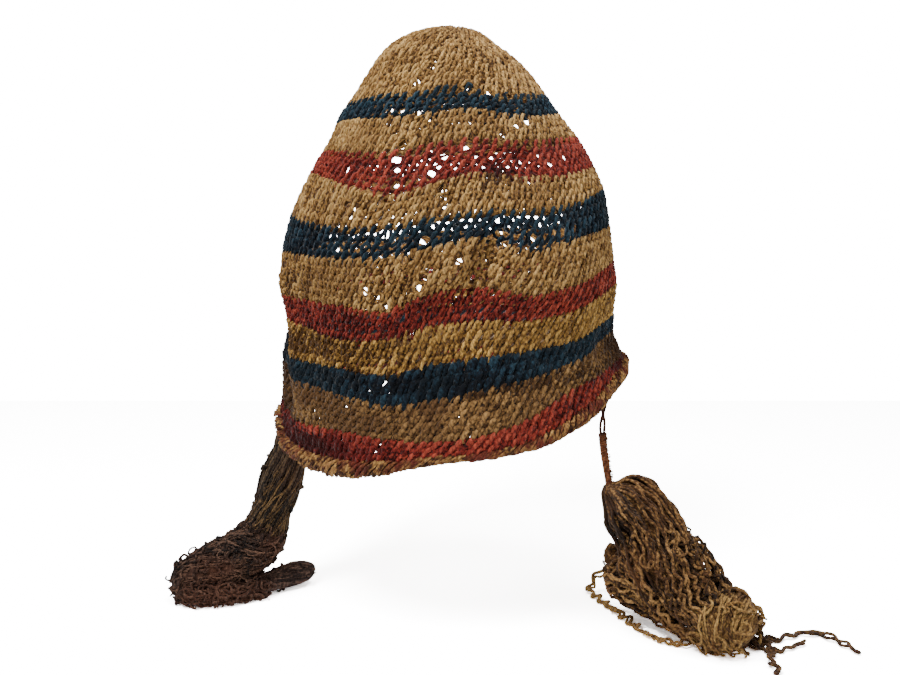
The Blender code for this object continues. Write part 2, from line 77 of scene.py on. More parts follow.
# Turns at which the edges are given, and there the hem's depth and its size
TURNS = np.array((0, 25, 55, 70, 85, 100, 115, 130, 160, 180, 270), float)
HEM_EDGE = (.917, .989, 1.000, .979, .954, .945, .932, .905, .834, .808, .889)
HEM_SIZE = (.76, .95, 1.0, .72, .50, .50, .57, .81, .90, .86, .74)


class Yarn(Enum):
    """The dyed yarns of the knitting."""

    TAN = "tan"
    GOLDEN = "golden"
    BROWN = "brown"
    NAVY = "navy"
    RED = "red"


@dataclass(frozen=True)
class Band:
    """A band of one colour: its courses, its yarn's fullness, and its lower edge at TURNS."""

    name: str
    yarn: Yarn
    courses: int
    fullness: float
    lower_edge: tuple[float, ...]
    close_knit: bool = False


BANDS = (
    Band("crown", Yarn.TAN, 15, 0.88,
         (.195, .183, .173, .172, .159, .159, .175, .172, .167, .168, .179), close_knit=True),
    Band("navy_1", Yarn.NAVY, 4, 0.90,
         (.231, .226, .227, .221, .215, .208, .215, .221, .209, .206, .218)),
    Band("tan_1", Yarn.TAN, 4, 0.88,
         (.297, .295, .303, .299, .282, .274, .278, .273, .263, .257, .277), close_knit=True),
    Band("red_1", Yarn.RED, 5, 0.92,
         (.345, .348, .376, .395, .367, .345, .351, .352, .332, .327, .336)),
    Band("tan_2", Yarn.TAN, 4, 0.89,
         (.433, .450, .463, .459, .439, .427, .426, .417, .385, .380, .406), close_knit=True),
    Band("navy_2", Yarn.NAVY, 4, 0.91,
         (.528, .526, .528, .524, .498, .479, .509, .491, .473, .465, .496)),
    Band("tan_3", Yarn.TAN, 6, 0.90,
         (.624, .624, .629, .634, .597, .586, .604, .589, .552, .548, .586), close_knit=True),
    Band("red_2", Yarn.RED, 4, 0.84,
         (.662, .679, .703, .697, .668, .655, .659, .644, .607, .603, .632), close_knit=True),
    Band("tan_4", Yarn.GOLDEN, 4, 0.96,
         (.730, .760, .766, .775, .753, .735, .725, .715, .684, .681, .705), close_knit=True),
    Band("navy_3", Yarn.NAVY, 3, 1.55,
         (.790, .800, .822, .836, .824, .800, .781, .756, .719, .713, .752), close_knit=True),
    Band("tan_5", Yarn.BROWN, 6, 1.27,
         (.873, .905, .902, .909, .910, .897, .864, .816, .783, .766, .820), close_knit=True),
    Band("red_3", Yarn.RED, 3, 1.32,
         (.900, .941, .954, .949, .946, .932, .907, .862, .815, .792, .856), close_knit=True),
)


@dataclass(frozen=True)
class Section:
    """A level section: its depth, and its left, right, front and back as shares of half sizes."""

    depth: float
    left: float
    right: float
    front: float
    back: float


SECTIONS = (
    Section(0.000, 0.000, 0.000, 0.000, 0.000),
    Section(0.012, 0.207, 0.167, 0.185, 0.190),
    Section(0.041, 0.345, 0.265, 0.300, 0.310),
    Section(0.069, 0.414, 0.363, 0.385, 0.395),
    Section(0.096, 0.461, 0.437, 0.445, 0.455),
    Section(0.152, 0.548, 0.548, 0.545, 0.555),
    Section(0.208, 0.645, 0.645, 0.640, 0.650),
    Section(0.263, 0.703, 0.754, 0.725, 0.735),
    Section(0.319, 0.788, 0.834, 0.810, 0.820),
    Section(0.375, 0.863, 0.897, 0.875, 0.885),
    Section(0.431, 0.927, 0.927, 0.925, 0.935),
    Section(0.487, 0.969, 0.947, 0.955, 0.965),
    Section(0.543, 0.995, 0.966, 0.980, 0.985),
    Section(0.600, 0.986, 0.986, 0.985, 0.990),
    Section(0.658, 0.968, 0.973, 0.970, 0.985),
    Section(0.715, 0.971, 0.966, 0.970, 0.985),
    Section(0.773, 0.997, 0.997, 0.985, 0.990),
    Section(0.830, 1.000, 1.012, 1.000, 0.990),
    Section(0.891, 1.002, 1.010, 1.010, 0.990),
    Section(1.000, 1.000, 1.010, 1.010, 0.990),
)


@dataclass(frozen=True)
class Fold:
    """A crease or swelling along a line: spread in the cap's width, rise in the fold's rise."""

    turn: float
    depth: float
    end_turn: float
    end_depth: float
    spread: float
    rise: float


FOLDS = (
    Fold(106, 0.463, 94, 0.595, 0.024, -0.75),
    Fold(97, 0.473, 84, 0.585, 0.045, 0.45),
    Fold(106, 0.330, 119, 0.323, 0.045, -0.70),
    Fold(4, 0.615, 20, 0.858, 0.040, -1.00),
    Fold(18, 0.595, 37, 0.838, 0.045, 0.50),
    Fold(8, 0.929, 22, 0.985, 0.055, 0.35),
    Fold(62, 0.392, 58, 0.696, 0.130, 0.50),
    Fold(88, 0.635, 84, 0.818, 0.090, -0.45),
    Fold(166, 0.797, 180, 0.787, 0.060, 0.45),
    Fold(150, 0.737, 160, 0.726, 0.050, -0.35),
    Fold(128, 0.514, 132, 0.676, 0.110, 0.35),
    Fold(320, 0.443, 318, 0.797, 0.120, 0.45),
    Fold(262, 0.493, 275, 0.777, 0.060, -0.55),
    Fold(228, 0.392, 232, 0.716, 0.120, 0.40),
)


@dataclass(frozen=True)
class Ladder:
    """A run of stretched or dropped stitches that stand open."""

    turn: float
    depth: float
    end_turn: float
    end_depth: float
    gaps: int


LADDERS = (
    Ladder(82.0, .088, 68.5, .156, 6),
    Ladder(42.0, .195, 75.5, .217, 5),
    Ladder(99.5, .164, 134.0, .184, 4),
    Ladder(47.5, .241, 56.5, .276, 2),
    Ladder(60.5, .236, 70.5, .284, 3),
    Ladder(127.5, .230, 112.0, .262, 3),
    Ladder(41.5, .325, 48.0, .336, 2),
    Ladder(69.5, .315, 71.5, .370, 3),
    Ladder(88.0, .311, 83.5, .350, 3),
    Ladder(97.0, .291, 103.0, .330, 3),
    Ladder(148.5, .281, 130.0, .331, 3),
    Ladder(87.5, .380, 88.5, .421, 3),
    Ladder(32.5, .514, 64.5, .498, 4),
    Ladder(70.0, .473, 70.0, .473, 1),
    Ladder(85.0, .455, 78.0, .515, 3),
    Ladder(106.5, .444, 107.5, .493, 3),
    Ladder(117.0, .483, 134.5, .467, 4),
    Ladder(84.5, .521, 81.0, .580, 4),
    Ladder(92.5, .527, 91.0, .556, 2),
    Ladder(65.0, .590, 70.5, .620, 3),
    Ladder(75.5, .645, 77.5, .681, 2),
    Ladder(26.5, .858, 23.5, .894, 2),
)


@dataclass(frozen=True)
class ShadePatch:
    """A patch of painted shade on the knitting, where it lies in a fold, dent or crease or on a shaded
    side: where, how wide in turn and depth, and how dark.
    """

    turn: float
    depth: float
    wide: float
    tall: float
    dark: float


# Painted shade: patches where the knitting lies in shade, in its folds, a dent, creases and on its shaded
# sides
SHADE_PATCHES = (
    ShadePatch(8, 0.80, 13, 0.10, 0.75),
    ShadePatch(34, 0.940, 26, 0.024, 1.10),
    ShadePatch(20, 0.88, 12, 0.05, 0.45),
    ShadePatch(109, 0.345, 7, 0.020, 0.90),
    ShadePatch(100, 0.525, 3, 0.045, 0.15),
    ShadePatch(172, 0.76, 15, 0.06, 1.10),
    ShadePatch(60, 0.655, 16, 0.020, 0.30),
    ShadePatch(176, 0.45, 10, 0.25, 0.35),
    ShadePatch(38, 0.715, 42, 0.035, 0.60),
    ShadePatch(30, 0.55, 28, 0.11, 0.20),
    ShadePatch(90, 0.785, 80, 0.020, 0.55),
)


def smooth(knots: np.ndarray, values: np.ndarray, x: np.ndarray) -> np.ndarray:
    """Cubic curve through a short table, held level past its ends.

    Args:
        knots: Rising places of the table's rows.
        values: The rows' values.
        x: Places to read.

    Returns:
        The values at x.
    """
    knots, values = np.asarray(knots, float), np.asarray(values, float)
    x = np.clip(np.asarray(x, float), knots[0], knots[-1])
    i = np.clip(np.searchsorted(knots, x, side="right") - 1, 0, len(knots) - 2)
    low = np.maximum(np.arange(len(knots)) - 1, 0)
    high = np.minimum(np.arange(len(knots)) + 1, len(knots) - 1)
    slopes = (values[high] - values[low]) / (knots[high] - knots[low])
    step = knots[i + 1] - knots[i]
    t = (x - knots[i]) / step
    h1, h2 = 2 * t**3 - 3 * t**2 + 1, t**3 - 2 * t**2 + t
    ends = h1 * values[i] + (1 - h1) * values[i + 1]
    return ends + step * (h2 * slopes[i] + (t**3 - t**2) * slopes[i + 1])


def spans(points: np.ndarray) -> np.ndarray:
    """Distances from each point of a line to the next."""
    return np.linalg.norm(np.diff(points, axis=0), axis=1)


def run_along(points: np.ndarray) -> np.ndarray:
    """Lengths from a line's start to each of its points."""
    return np.concatenate(([0], np.cumsum(spans(points))))


def curved(knots: np.ndarray, rows: np.ndarray, at: np.ndarray) -> np.ndarray:
    """Rows of several values read on a smooth curve through them."""
    return np.stack([smooth(knots, column, at) for column in rows.T], axis=1)


def between(knots: np.ndarray, rows: np.ndarray, at: np.ndarray) -> np.ndarray:
    """Rows of several values read on the straight lines between them."""
    return np.stack([np.interp(at, knots, column) for column in rows.T], axis=-1)


def round_the_cap(values: tuple[float, ...], turn: np.ndarray) -> np.ndarray:
    """A value given at TURNS, at any turn.

    Args:
        values: One value for each of TURNS.
        turn: Turns in degrees.

    Returns:
        The values at those turns.
    """
    knots = np.concatenate(([TURNS[-1] - 360], TURNS, [360 + TURNS[0], 360 + TURNS[1]]))
    ring = np.concatenate(([values[-1]], values, [values[0], values[1]]))
    return smooth(knots, ring, np.mod(turn, 360))


def unit(vectors: np.ndarray) -> np.ndarray:
    """Vectors scaled to length one."""
    return vectors / np.maximum(np.linalg.norm(vectors, axis=-1, keepdims=True), 1e-12)


def wavering(rng: np.random.Generator, places: np.ndarray, period: float) -> np.ndarray:
    """A smooth random wander between about -1 and 1 that closes on itself.

    Args:
        rng: Source of the random values.
        places: Places from 0 up to period.
        period: Where the wander meets its start.

    Returns:
        The wander at places.
    """
    count = max(int(round(period)), 4)
    values = rng.uniform(-1, 1, count)
    at = places / period * count
    low = np.floor(at).astype(int)
    t = at - low
    t = t * t * (3 - 2 * t)
    return values[low % count] * (1 - t) + values[(low + 1) % count] * t


@dataclass
class CapWall:
    """The cap's wall as a surface over turn and depth, with its folds and its open gaps."""

    wall: float = 0.003
    drop: float = 0.229
    width: float = 0.187
    depth: float = 0.176
    fold_rise: float = 0.007
    hem_roll: float = 0.0042
    wall_in_hem: float = 0.7
    knit_above_hem: float = 1.35
    gap_push: float = 4.0
    gap_through: float = 0.02
    gap_behind: float = 1.2
    crown_ring: np.ndarray = field(init=False)
    crown_share: np.ndarray = field(init=False)

    def __post_init__(self) -> None:
        """Spaces the crown's courses evenly along its slope."""
        share = np.linspace(0, 1, 200) ** 2
        edge = round_the_cap(BANDS[0].lower_edge, np.array(90.0))
        line = self.point(np.full(200, 90.0), share * edge)
        along = run_along(line)
        self.crown_ring, self.crown_share = along / along[-1], share

    def half_size(self, side: str, depth: np.ndarray) -> np.ndarray:
        """Half the width or depth on one side, as a share.

        Args:
            side: The side: left, right, front or back.
            depth: Depths on the cap.

        Returns:
            The shares at those depths.
        """
        knots = np.sqrt([row.depth for row in SECTIONS])
        values = [getattr(row, side) for row in SECTIONS]
        return smooth(knots, values, np.sqrt(np.maximum(depth, 0)))

    def relief(self, turn: np.ndarray, depth: np.ndarray) -> np.ndarray:
        """How far folds and swellings move the wall outwards.

        Args:
            turn: Turns in degrees.
            depth: Depths at those turns.

        Returns:
            The moves there, below zero where the wall sinks in.
        """
        total = np.zeros(np.broadcast(turn, depth).shape)
        around = math.radians(1) * self.width / 2
        for fold in FOLDS:
            middle = (fold.turn + fold.end_turn) / 2
            px = (np.mod(turn - middle + 180, 360) - 180 + middle) * around
            py = depth * self.drop
            ax, ay = fold.turn * around, fold.depth * self.drop
            bx, by = fold.end_turn * around, fold.end_depth * self.drop
            along = (bx - ax) ** 2 + (by - ay) ** 2
            t = np.clip(((px - ax) * (bx - ax) + (py - ay) * (by - ay)) / along, 0, 1)
            away = np.hypot(px - ax - t * (bx - ax), py - ay - t * (by - ay))
            total += fold.rise * self.fold_rise * np.exp(-((away / (fold.spread * self.width)) ** 2))
        return total

    def point(self, turn: np.ndarray, depth: np.ndarray, inward: float = 0.0) -> np.ndarray:
        """Points of the wall.

        Args:
            turn: Turns in degrees.
            depth: Depths at those turns.
            inward: How far in from the outer surface.

        Returns:
            The points.
        """
        angle = np.radians(180 + turn)
        c, s = np.cos(angle), np.sin(angle)
        wide = np.where(c < 0, self.half_size("left", depth), self.half_size("right", depth))
        deep = np.where(s < 0, self.half_size("front", depth), self.half_size("back", depth))
        out = self.relief(turn, depth) - inward
        return np.stack((c * self.width / 2 * wide + out * c, s * self.depth / 2 * deep + out * s,
                         self.wall - depth * self.drop), axis=-1)

    def normal(self, turn: np.ndarray, depth: np.ndarray) -> np.ndarray:
        """Directions square out of the wall.

        Args:
            turn: Turns in degrees.
            depth: Depths at those turns.

        Returns:
            The directions, each of length one.
        """
        turn_step, depth_step, upward = 0.6, 0.004, 0.4
        ahead = self.point(turn + turn_step, depth) - self.point(turn - turn_step, depth)
        above = np.maximum(depth - depth_step, 1e-6)
        down = self.point(turn, depth + depth_step) - self.point(turn, above)
        out = unit(np.cross(down, ahead))
        angle = np.radians(180 + turn)
        radial = np.stack((np.cos(angle), np.sin(angle), np.full_like(angle, upward)), axis=-1)
        flip = np.where((out * radial).sum(axis=-1, keepdims=True) < 0, -1.0, 1.0)
        return out * flip

    def hem_radius(self, turn: np.ndarray) -> np.ndarray:
        """Radius of the rolled hem."""
        return self.hem_roll * round_the_cap(HEM_SIZE, turn)

    def hem_point(self, turn: np.ndarray) -> np.ndarray:
        """The rolled hem's middle line.

        Args:
            turn: Turns in degrees.

        Returns:
            Its points at those turns.
        """
        made = self.point(turn, round_the_cap(HEM_EDGE, turn), inward=self.wall / 2)
        made[..., 2] += self.hem_radius(turn)
        return made

    def under_hem(self, turn: float, clearance: float) -> np.ndarray:
        """The place below the rolled hem where a yarn is tied on.

        Args:
            turn: The place's turn in degrees.
            clearance: How far below the hem it is.

        Returns:
            The place.
        """
        place = self.hem_point(np.array(turn))
        place[2] -= self.hem_radius(np.array(turn)) + clearance
        return place

    def wall_end(self, turn: np.ndarray) -> np.ndarray:
        """Depth at which the wall runs into the rolled hem."""
        return round_the_cap(HEM_EDGE, turn) - self.wall_in_hem * self.hem_radius(turn) / self.drop

    def course_depth(self, turn: np.ndarray, course: np.ndarray) -> np.ndarray:
        """Depth of a course, counted from the crown's top, at a turn.

        Args:
            turn: Turns in degrees.
            course: Courses, with fractions between two of them.

        Returns:
            The depths.
        """
        edges = [np.zeros_like(turn)] + [round_the_cap(band.lower_edge, turn) for band in BANDS]
        clear = self.knit_above_hem * self.hem_radius(turn) / self.drop
        hem_top = round_the_cap(HEM_EDGE, turn) - clear
        edges[-1] = np.minimum(np.maximum(edges[-1], hem_top), self.wall_end(turn))
        counts = np.cumsum([0] + [band.courses for band in BANDS])
        course = np.maximum(course, 0)
        index = np.clip(np.searchsorted(counts, course, side="right") - 1, 0, len(BANDS) - 1)
        share = (course - counts[index]) / (counts[index + 1] - counts[index])
        share = np.where(index == 0, np.interp(share, self.crown_ring, self.crown_share), share)
        upper = np.choose(index, edges[:-1])
        lower = np.choose(index, edges[1:])
        return upper + (lower - upper) * share

    def open_gaps(self, places: np.ndarray, gaps: list[tuple[np.ndarray, np.ndarray, float]]) -> np.ndarray:
        """Pushes yarn aside from the open gaps.

        Args:
            places: Points of yarn, one row each.
            gaps: Each gap's centre, the direction that it faces and its radius.

        Returns:
            The points, moved.
        """
        for centre, out, radius in gaps:
            away = places - centre
            flat = away - (away @ out)[:, None] * out
            far = np.linalg.norm(flat, axis=1)
            near = (far < self.gap_push * radius) & (np.abs(away @ out) < self.gap_through)
            wide = (far[near] ** 3 + radius**3) ** (1 / 3)
            places[near] += flat[near] * ((wide - far[near]) / np.maximum(far[near], 1e-6))[:, None]
        return places

    def gaps(self, size: float) -> list[tuple[np.ndarray, np.ndarray, float]]:
        """The open gaps: each one's centre, the direction that it faces and its radius.

        Args:
            size: Radius of a common gap.

        Returns:
            The front's gaps, and behind each the one in the back that lets light through.
        """
        rng = np.random.default_rng(31)
        back_turns, back_depths = np.linspace(190, 350, 161), np.linspace(0.05, 0.92, 140)
        turn, depth = np.meshgrid(back_turns, back_depths)
        back = self.point(turn, depth, self.wall / 2)
        made = []
        for run in LADDERS:
            for k in range(run.gaps):
                t = k / max(run.gaps - 1, 1)
                across = np.array(run.turn + t * (run.end_turn - run.turn))
                down = np.array(run.depth + t * (run.end_depth - run.depth))
                radius = size * rng.uniform(0.75, 1.35)
                centre, out = self.point(across, down, self.wall / 2), self.normal(across, down)
                made.append((centre, out, radius))
                ray = unit(centre - EYE)
                away = back - EYE
                miss = np.linalg.norm(away - (away @ ray)[..., None] * ray, axis=-1)
                at = np.unravel_index(np.argmin(miss), miss.shape)
                made.append((back[at], self.normal(turn[at], depth[at]), self.gap_behind * radius))
        return made


class NodeMaker:
    """Adds nodes to a tree and links them."""

    def __init__(self, tree: bpy.types.NodeTree) -> None:
        """Keeps the tree."""
        self.tree = tree

    def add(self, kind: str, inputs: dict | None = None, **settings: object) -> bpy.types.Node:
        """Adds a node.

        Args:
            kind: The node's type.
            inputs: Sockets by name or number, each a socket to link or a value.
            **settings: The node's properties.

        Returns:
            The node.
        """
        node = self.tree.nodes.new(kind)
        for name, value in settings.items():
            setattr(node, name, value)
        for name, value in (inputs or {}).items():
            if isinstance(value, bpy.types.NodeSocket):
                self.tree.links.new(value, node.inputs[name])
            else:
                node.inputs[name].default_value = value
        return node

    def math(self, operation: str, first: object, second: object = 0.0,
             third: object = 0.0) -> bpy.types.NodeSocket:
        """The result of one sum on up to three sockets or values."""
        inputs = {0: first, 1: second, 2: third}
        return self.add("ShaderNodeMath", inputs, operation=operation).outputs[0]


@dataclass(frozen=True)
class WoolFinish:
    """Dyed wool: its colours, how uneven it is, its ply and its fibres, with scales for a metre."""

    name: str
    dark: tuple[float, float, float]
    base: tuple[float, float, float]
    light: tuple[float, float, float]
    fleck: tuple[float, float, float]
    fleck_share: float = 0.25
    patch: float = 34.0
    mottle: float = 620.0
    contrast: float = 1.15
    shade_pull: float = 0.50
    ply_turns: float = 420.0
    plies: float = 2.0
    # Painted shade: how dark the colour gets in the groove between the plies
    painted_groove_shade: float = 0.62
    fibre: float = 2600.0
    relief: float = 0.0003
    roughness: float = 0.9
    shine: float = 0.14
    sheen: float = 0.05

    def make(self) -> bpy.types.Material:
        """Builds the wool.

        Returns:
            The material.
        """
        made = bpy.data.materials.new(self.name)
        made.use_nodes = True
        made.node_tree.nodes.clear()
        nodes = NodeMaker(made.node_tree)
        place = nodes.add("ShaderNodeTexCoord").outputs["Object"]
        mottle = nodes.add("ShaderNodeTexNoise", {"Vector": place, "Scale": self.mottle, "Detail": 3.0})
        patch = nodes.add("ShaderNodeTexNoise", {"Vector": place, "Scale": self.patch, "Detail": 2.0})
        shade = nodes.add("ShaderNodeAttribute", attribute_name="shade").outputs["Fac"]
        tone = nodes.math("MULTIPLY_ADD", mottle.outputs["Fac"], self.contrast, 0.5 * (1 - self.contrast))
        pull = nodes.math("MULTIPLY", nodes.math("SUBTRACT", shade, 0.5), self.shade_pull)
        ramp = nodes.add("ShaderNodeValToRGB", {"Fac": nodes.math("ADD", tone, pull)})
        stops = ramp.color_ramp.elements
        stops[0].position, stops[0].color = 0.30, (*self.dark, 1)
        stops[1].position, stops[1].color = 0.72, (*self.light, 1)
        middle = stops.new(0.50)
        middle.color = (*self.base, 1)
        spread = nodes.add("ShaderNodeMapRange", {"Value": patch.outputs["Fac"], "From Min": 0.42,
                                                 "From Max": 0.66, "To Max": self.fleck_share * 2})
        stained = nodes.add("ShaderNodeMix", {"Factor": spread.outputs[0], 6: ramp.outputs[0],
                                              7: (*self.fleck, 1)}, data_type="RGBA")
        ply = nodes.add("ShaderNodeAttribute", attribute_name="ply").outputs["Vector"]
        parts = nodes.add("ShaderNodeSeparateXYZ", {0: ply})
        angle = nodes.math("ARCTAN2", parts.outputs[1], parts.outputs[0])
        lead = nodes.math("MULTIPLY", angle, self.plies)
        twist = nodes.math("MULTIPLY_ADD", parts.outputs[2], self.ply_turns * 2 * math.pi, lead)
        groove = nodes.math("SINE", twist)
        fibre = nodes.add("ShaderNodeTexNoise", {"Vector": place, "Scale": self.fibre, "Detail": 2.0})
        height = nodes.math("ADD", nodes.math("MULTIPLY", groove, 0.5), fibre.outputs["Fac"])
        bump = nodes.add("ShaderNodeBump", {"Height": height, "Strength": 0.6, "Distance": self.relief})
        # Painted shade: the colour is darkened in the groove between the plies
        dim = nodes.add("ShaderNodeMapRange", {"Value": groove, "From Min": -1.0, "From Max": 0.3,
                                              "To Min": self.painted_groove_shade, "To Max": 1.0})
        colour = nodes.add("ShaderNodeVectorMath", {0: stained.outputs[2], "Scale": dim.outputs[0]},
                           operation="SCALE")
        shader = nodes.add("ShaderNodeBsdfPrincipled", {
            "Base Color": colour.outputs[0], "Roughness": self.roughness, "Specular IOR Level": self.shine,
            "Sheen Weight": self.sheen, "Sheen Roughness": 0.5, "Normal": bump.outputs[0]})
        nodes.add("ShaderNodeOutputMaterial", {"Surface": shader.outputs[0]})
        return made


@dataclass
class YarnRoutes:
    """Routes of yarn for one piece: points, and for each its thickness and its shade."""

    points: list[np.ndarray] = field(default_factory=list)
    thick: list[np.ndarray] = field(default_factory=list)
    shade: list[np.ndarray] = field(default_factory=list)
    closed: list[bool] = field(default_factory=list)

    def add(self, points: np.ndarray, shade: np.ndarray | float, closed: bool = False,
            thick: np.ndarray | float = 1.0) -> None:
        """Adds one route.

        Args:
            points: The route's points, one row each.
            shade: From 0, dark, to 1, light.
            closed: Whether the yarn meets its start.
            thick: Thickness as a share of the yarn's.
        """
        self.points.append(points)
        self.thick.append(np.broadcast_to(thick, len(points)))
        self.shade.append(np.broadcast_to(shade, len(points)))
        self.closed.append(closed)

    def mesh(self, name: str) -> bpy.types.Mesh:
        """The routes as a mesh of edges.

        Args:
            name: The mesh's name.

        Returns:
            The mesh, with thickness and shade at its points.
        """
        edges, start = [], 0
        for points, closed in zip(self.points, self.closed):
            order = np.arange(start, start + len(points))
            after = np.roll(order, -1)
            pairs = np.stack((order, after), axis=1)
            edges.append(pairs if closed else pairs[:-1])
            start += len(points)
        edges = np.concatenate(edges)
        made = bpy.data.meshes.new(name)
        made.vertices.add(start)
        made.vertices.foreach_set("co", np.concatenate(self.points).astype(np.float32).ravel())
        made.edges.add(len(edges))
        made.edges.foreach_set("vertices", edges.astype(np.int32).ravel())
        for label, values in (("thick", self.thick), ("shade", self.shade)):
            layer = made.attributes.new(label, "FLOAT", "POINT")
            layer.data.foreach_set("value", np.concatenate(values).astype(np.float32))
        made.update()
        return made


def dress(piece: bpy.types.Object, slot: str, *nodes: str) -> bpy.types.Object:
    """Attaches a piece to the body, hides the solids that it replaces, and logs its triangles.

    Args:
        piece: The piece.
        slot: The record's material slot. Not used.
        *nodes: The solids it replaces.

    Returns:
        The piece.
    """
    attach(piece, BODY)
    if nodes:
        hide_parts(*nodes)
    triangles = len(piece.data.loops) - 2 * len(piece.data.polygons)
    LOG.info("%s: %d triangles", piece.name, triangles)
    return piece


class YarnSpinner:
    """Turns routes into solid yarn with one Geometry Nodes tree."""

    def __init__(self) -> None:
        """Builds the tree."""
        tree = bpy.data.node_groups.new("spun_yarn", "GeometryNodeTree")
        self.tree = tree
        face = tree.interface
        face.new_socket("Geometry", in_out="INPUT", socket_type="NodeSocketGeometry")
        self.sockets = {
            label: face.new_socket(label, in_out="INPUT", socket_type=kind).identifier
            for label, kind in (("Yarn radius", "NodeSocketFloat"), ("Sides", "NodeSocketInt"),
                                ("Crinkle", "NodeSocketFloat"), ("Crinkle scale", "NodeSocketFloat"),
                                ("Seed", "NodeSocketInt"), ("Material", "NodeSocketMaterial"))}
        face.new_socket("Geometry", in_out="OUTPUT", socket_type="NodeSocketGeometry")
        nodes = NodeMaker(tree)
        given = nodes.add("NodeGroupInput").outputs
        place = nodes.add("GeometryNodeInputPosition").outputs[0]
        noise = nodes.add("ShaderNodeTexNoise", {"Vector": place, "W": given["Seed"],
                                                 "Scale": given["Crinkle scale"], "Detail": 1.0},
                          noise_dimensions="4D")
        centred = nodes.add("ShaderNodeVectorMath", {0: noise.outputs["Color"], 1: (-0.5, -0.5, -0.5)},
                            operation="ADD")
        wander = nodes.add("ShaderNodeVectorMath", {0: centred.outputs[0], "Scale": given["Crinkle"]},
                           operation="SCALE")
        moved = nodes.add("GeometryNodeSetPosition", {"Geometry": given["Geometry"],
                                                      "Offset": wander.outputs[0]})
        curve = nodes.add("GeometryNodeMeshToCurve", {"Mesh": moved.outputs[0]})
        along = nodes.add("GeometryNodeCaptureAttribute", {"Geometry": curve.outputs[0]}, domain="POINT")
        along.capture_items.new("FLOAT", "Length")
        tree.links.new(nodes.add("GeometryNodeSplineParameter").outputs["Length"], along.inputs["Length"])
        circle = nodes.add("GeometryNodeCurvePrimitiveCircle", {"Resolution": given["Sides"],
                                                               "Radius": given["Yarn radius"]})
        around = nodes.add("GeometryNodeCaptureAttribute", {"Geometry": circle.outputs[0]}, domain="POINT")
        around.capture_items.new("FLOAT", "Factor")
        tree.links.new(nodes.add("GeometryNodeSplineParameter").outputs["Factor"], around.inputs["Factor"])
        thick = nodes.add("GeometryNodeInputNamedAttribute", {"Name": "thick"}, data_type="FLOAT")
        tube = nodes.add("GeometryNodeCurveToMesh", {
            "Curve": along.outputs[0], "Profile Curve": around.outputs[0],
            "Scale": thick.outputs[0], "Fill Caps": True})
        angle = nodes.math("MULTIPLY", around.outputs["Factor"], 2 * math.pi)
        ply = nodes.add("ShaderNodeCombineXYZ", {0: nodes.math("COSINE", angle),
                                                 1: nodes.math("SINE", angle),
                                                 2: along.outputs["Length"]})
        kept = nodes.add("GeometryNodeStoreNamedAttribute", {
            "Geometry": tube.outputs[0], "Name": "ply", "Value": ply.outputs[0]},
            data_type="FLOAT_VECTOR", domain="POINT")
        soft = nodes.add("GeometryNodeSetShadeSmooth", {"Geometry": kept.outputs[0]})
        real = nodes.add("GeometryNodeRealizeInstances", {"Geometry": soft.outputs[0]})
        dyed = nodes.add("GeometryNodeSetMaterial", {"Geometry": real.outputs[0],
                                                     "Material": given["Material"]})
        nodes.add("NodeGroupOutput", {"Geometry": dyed.outputs[0]})

    def spin(self, name: str, routes: YarnRoutes, material: bpy.types.Material, radius: float,
             slot: str, *nodes: str, sides: int = 5, crinkle: float = 0.0,
             crinkle_scale: float = 200.0, seed: int = 1) -> bpy.types.Object:
        """Makes and dresses one piece of yarn.

        Args:
            name: The piece's name.
            routes: The yarn's routes.
            material: The yarn's finish.
            radius: The yarn's radius.
            slot: The record's material slot.
            *nodes: The solids that the piece replaces.
            sides: Sides of the yarn's section.
            crinkle: How far the yarn wanders.
            crinkle_scale: Wanders in a metre.
            seed: Chooses the wander.

        Returns:
            The piece, as a plain mesh.
        """
        made = bpy.data.objects.new(name, routes.mesh(name))
        bpy.context.scene.collection.objects.link(made)
        spun = made.modifiers.new("yarn", "NODES")
        spun.node_group = self.tree
        values = {"Yarn radius": radius, "Sides": sides, "Crinkle": crinkle,
                  "Crinkle scale": crinkle_scale, "Seed": seed, "Material": material}
        for label, value in values.items():
            spun[self.sockets[label]] = value
        graph = bpy.context.evaluated_depsgraph_get()
        mesh = bpy.data.meshes.new_from_object(made.evaluated_get(graph), preserve_all_data_layers=True,
                                               depsgraph=graph)
        made.modifiers.clear()
        routes_mesh = made.data
        made.data = mesh
        bpy.data.meshes.remove(routes_mesh)
        return dress(made, slot, *nodes)


YARN_RADIUS = 0.00108

FINISHES = {
    Yarn.TAN: WoolFinish("tan_wool", dark=(.050, .019, .004), base=(.272, .140, .038),
                         light=(.51, .310, .108), fleck=(.17, .086, .027)),
    Yarn.GOLDEN: WoolFinish("golden_wool", dark=(.060, .024, .004), base=(.265, .135, .029),
                            light=(.58, .345, .095), fleck=(.17, .086, .021)),
    Yarn.BROWN: WoolFinish("brown_wool", dark=(.038, .016, .005), base=(.155, .079, .025),
                           light=(.30, .165, .058), fleck=(.080, .037, .014), fleck_share=0.4),
    Yarn.NAVY: WoolFinish("navy_wool", dark=(.0010, .0020, .0042), base=(.0040, .0112, .0200),
                          light=(.015, .038, .057), fleck=(.004, .011, .016)),
    Yarn.RED: WoolFinish("red_wool", dark=(.034, .0028, .0022), base=(.180, .0170, .011),
                         light=(.33, .055, .030), fleck=(.100, .008, .0065)),
}
HEM_FINISH = WoolFinish("hem_wool", dark=(.035, .012, .005), base=(.19, .088, .026), light=(.38, .21, .068),
                        fleck=(.110, .022, .012), fleck_share=0.5, patch=95.0)
DARK_FINISH = WoolFinish("left_tassel_wool", dark=(.007, .004, .0026), base=(.034, .020, .011),
                         light=(.105, .066, .034), fleck=(.055, .026, .014))
WAIST_FINISH = WoolFinish("left_waist_wool", dark=(.018, .009, .004), base=(.065, .035, .014),
                          light=(.155, .088, .034), fleck=(.055, .024, .011))
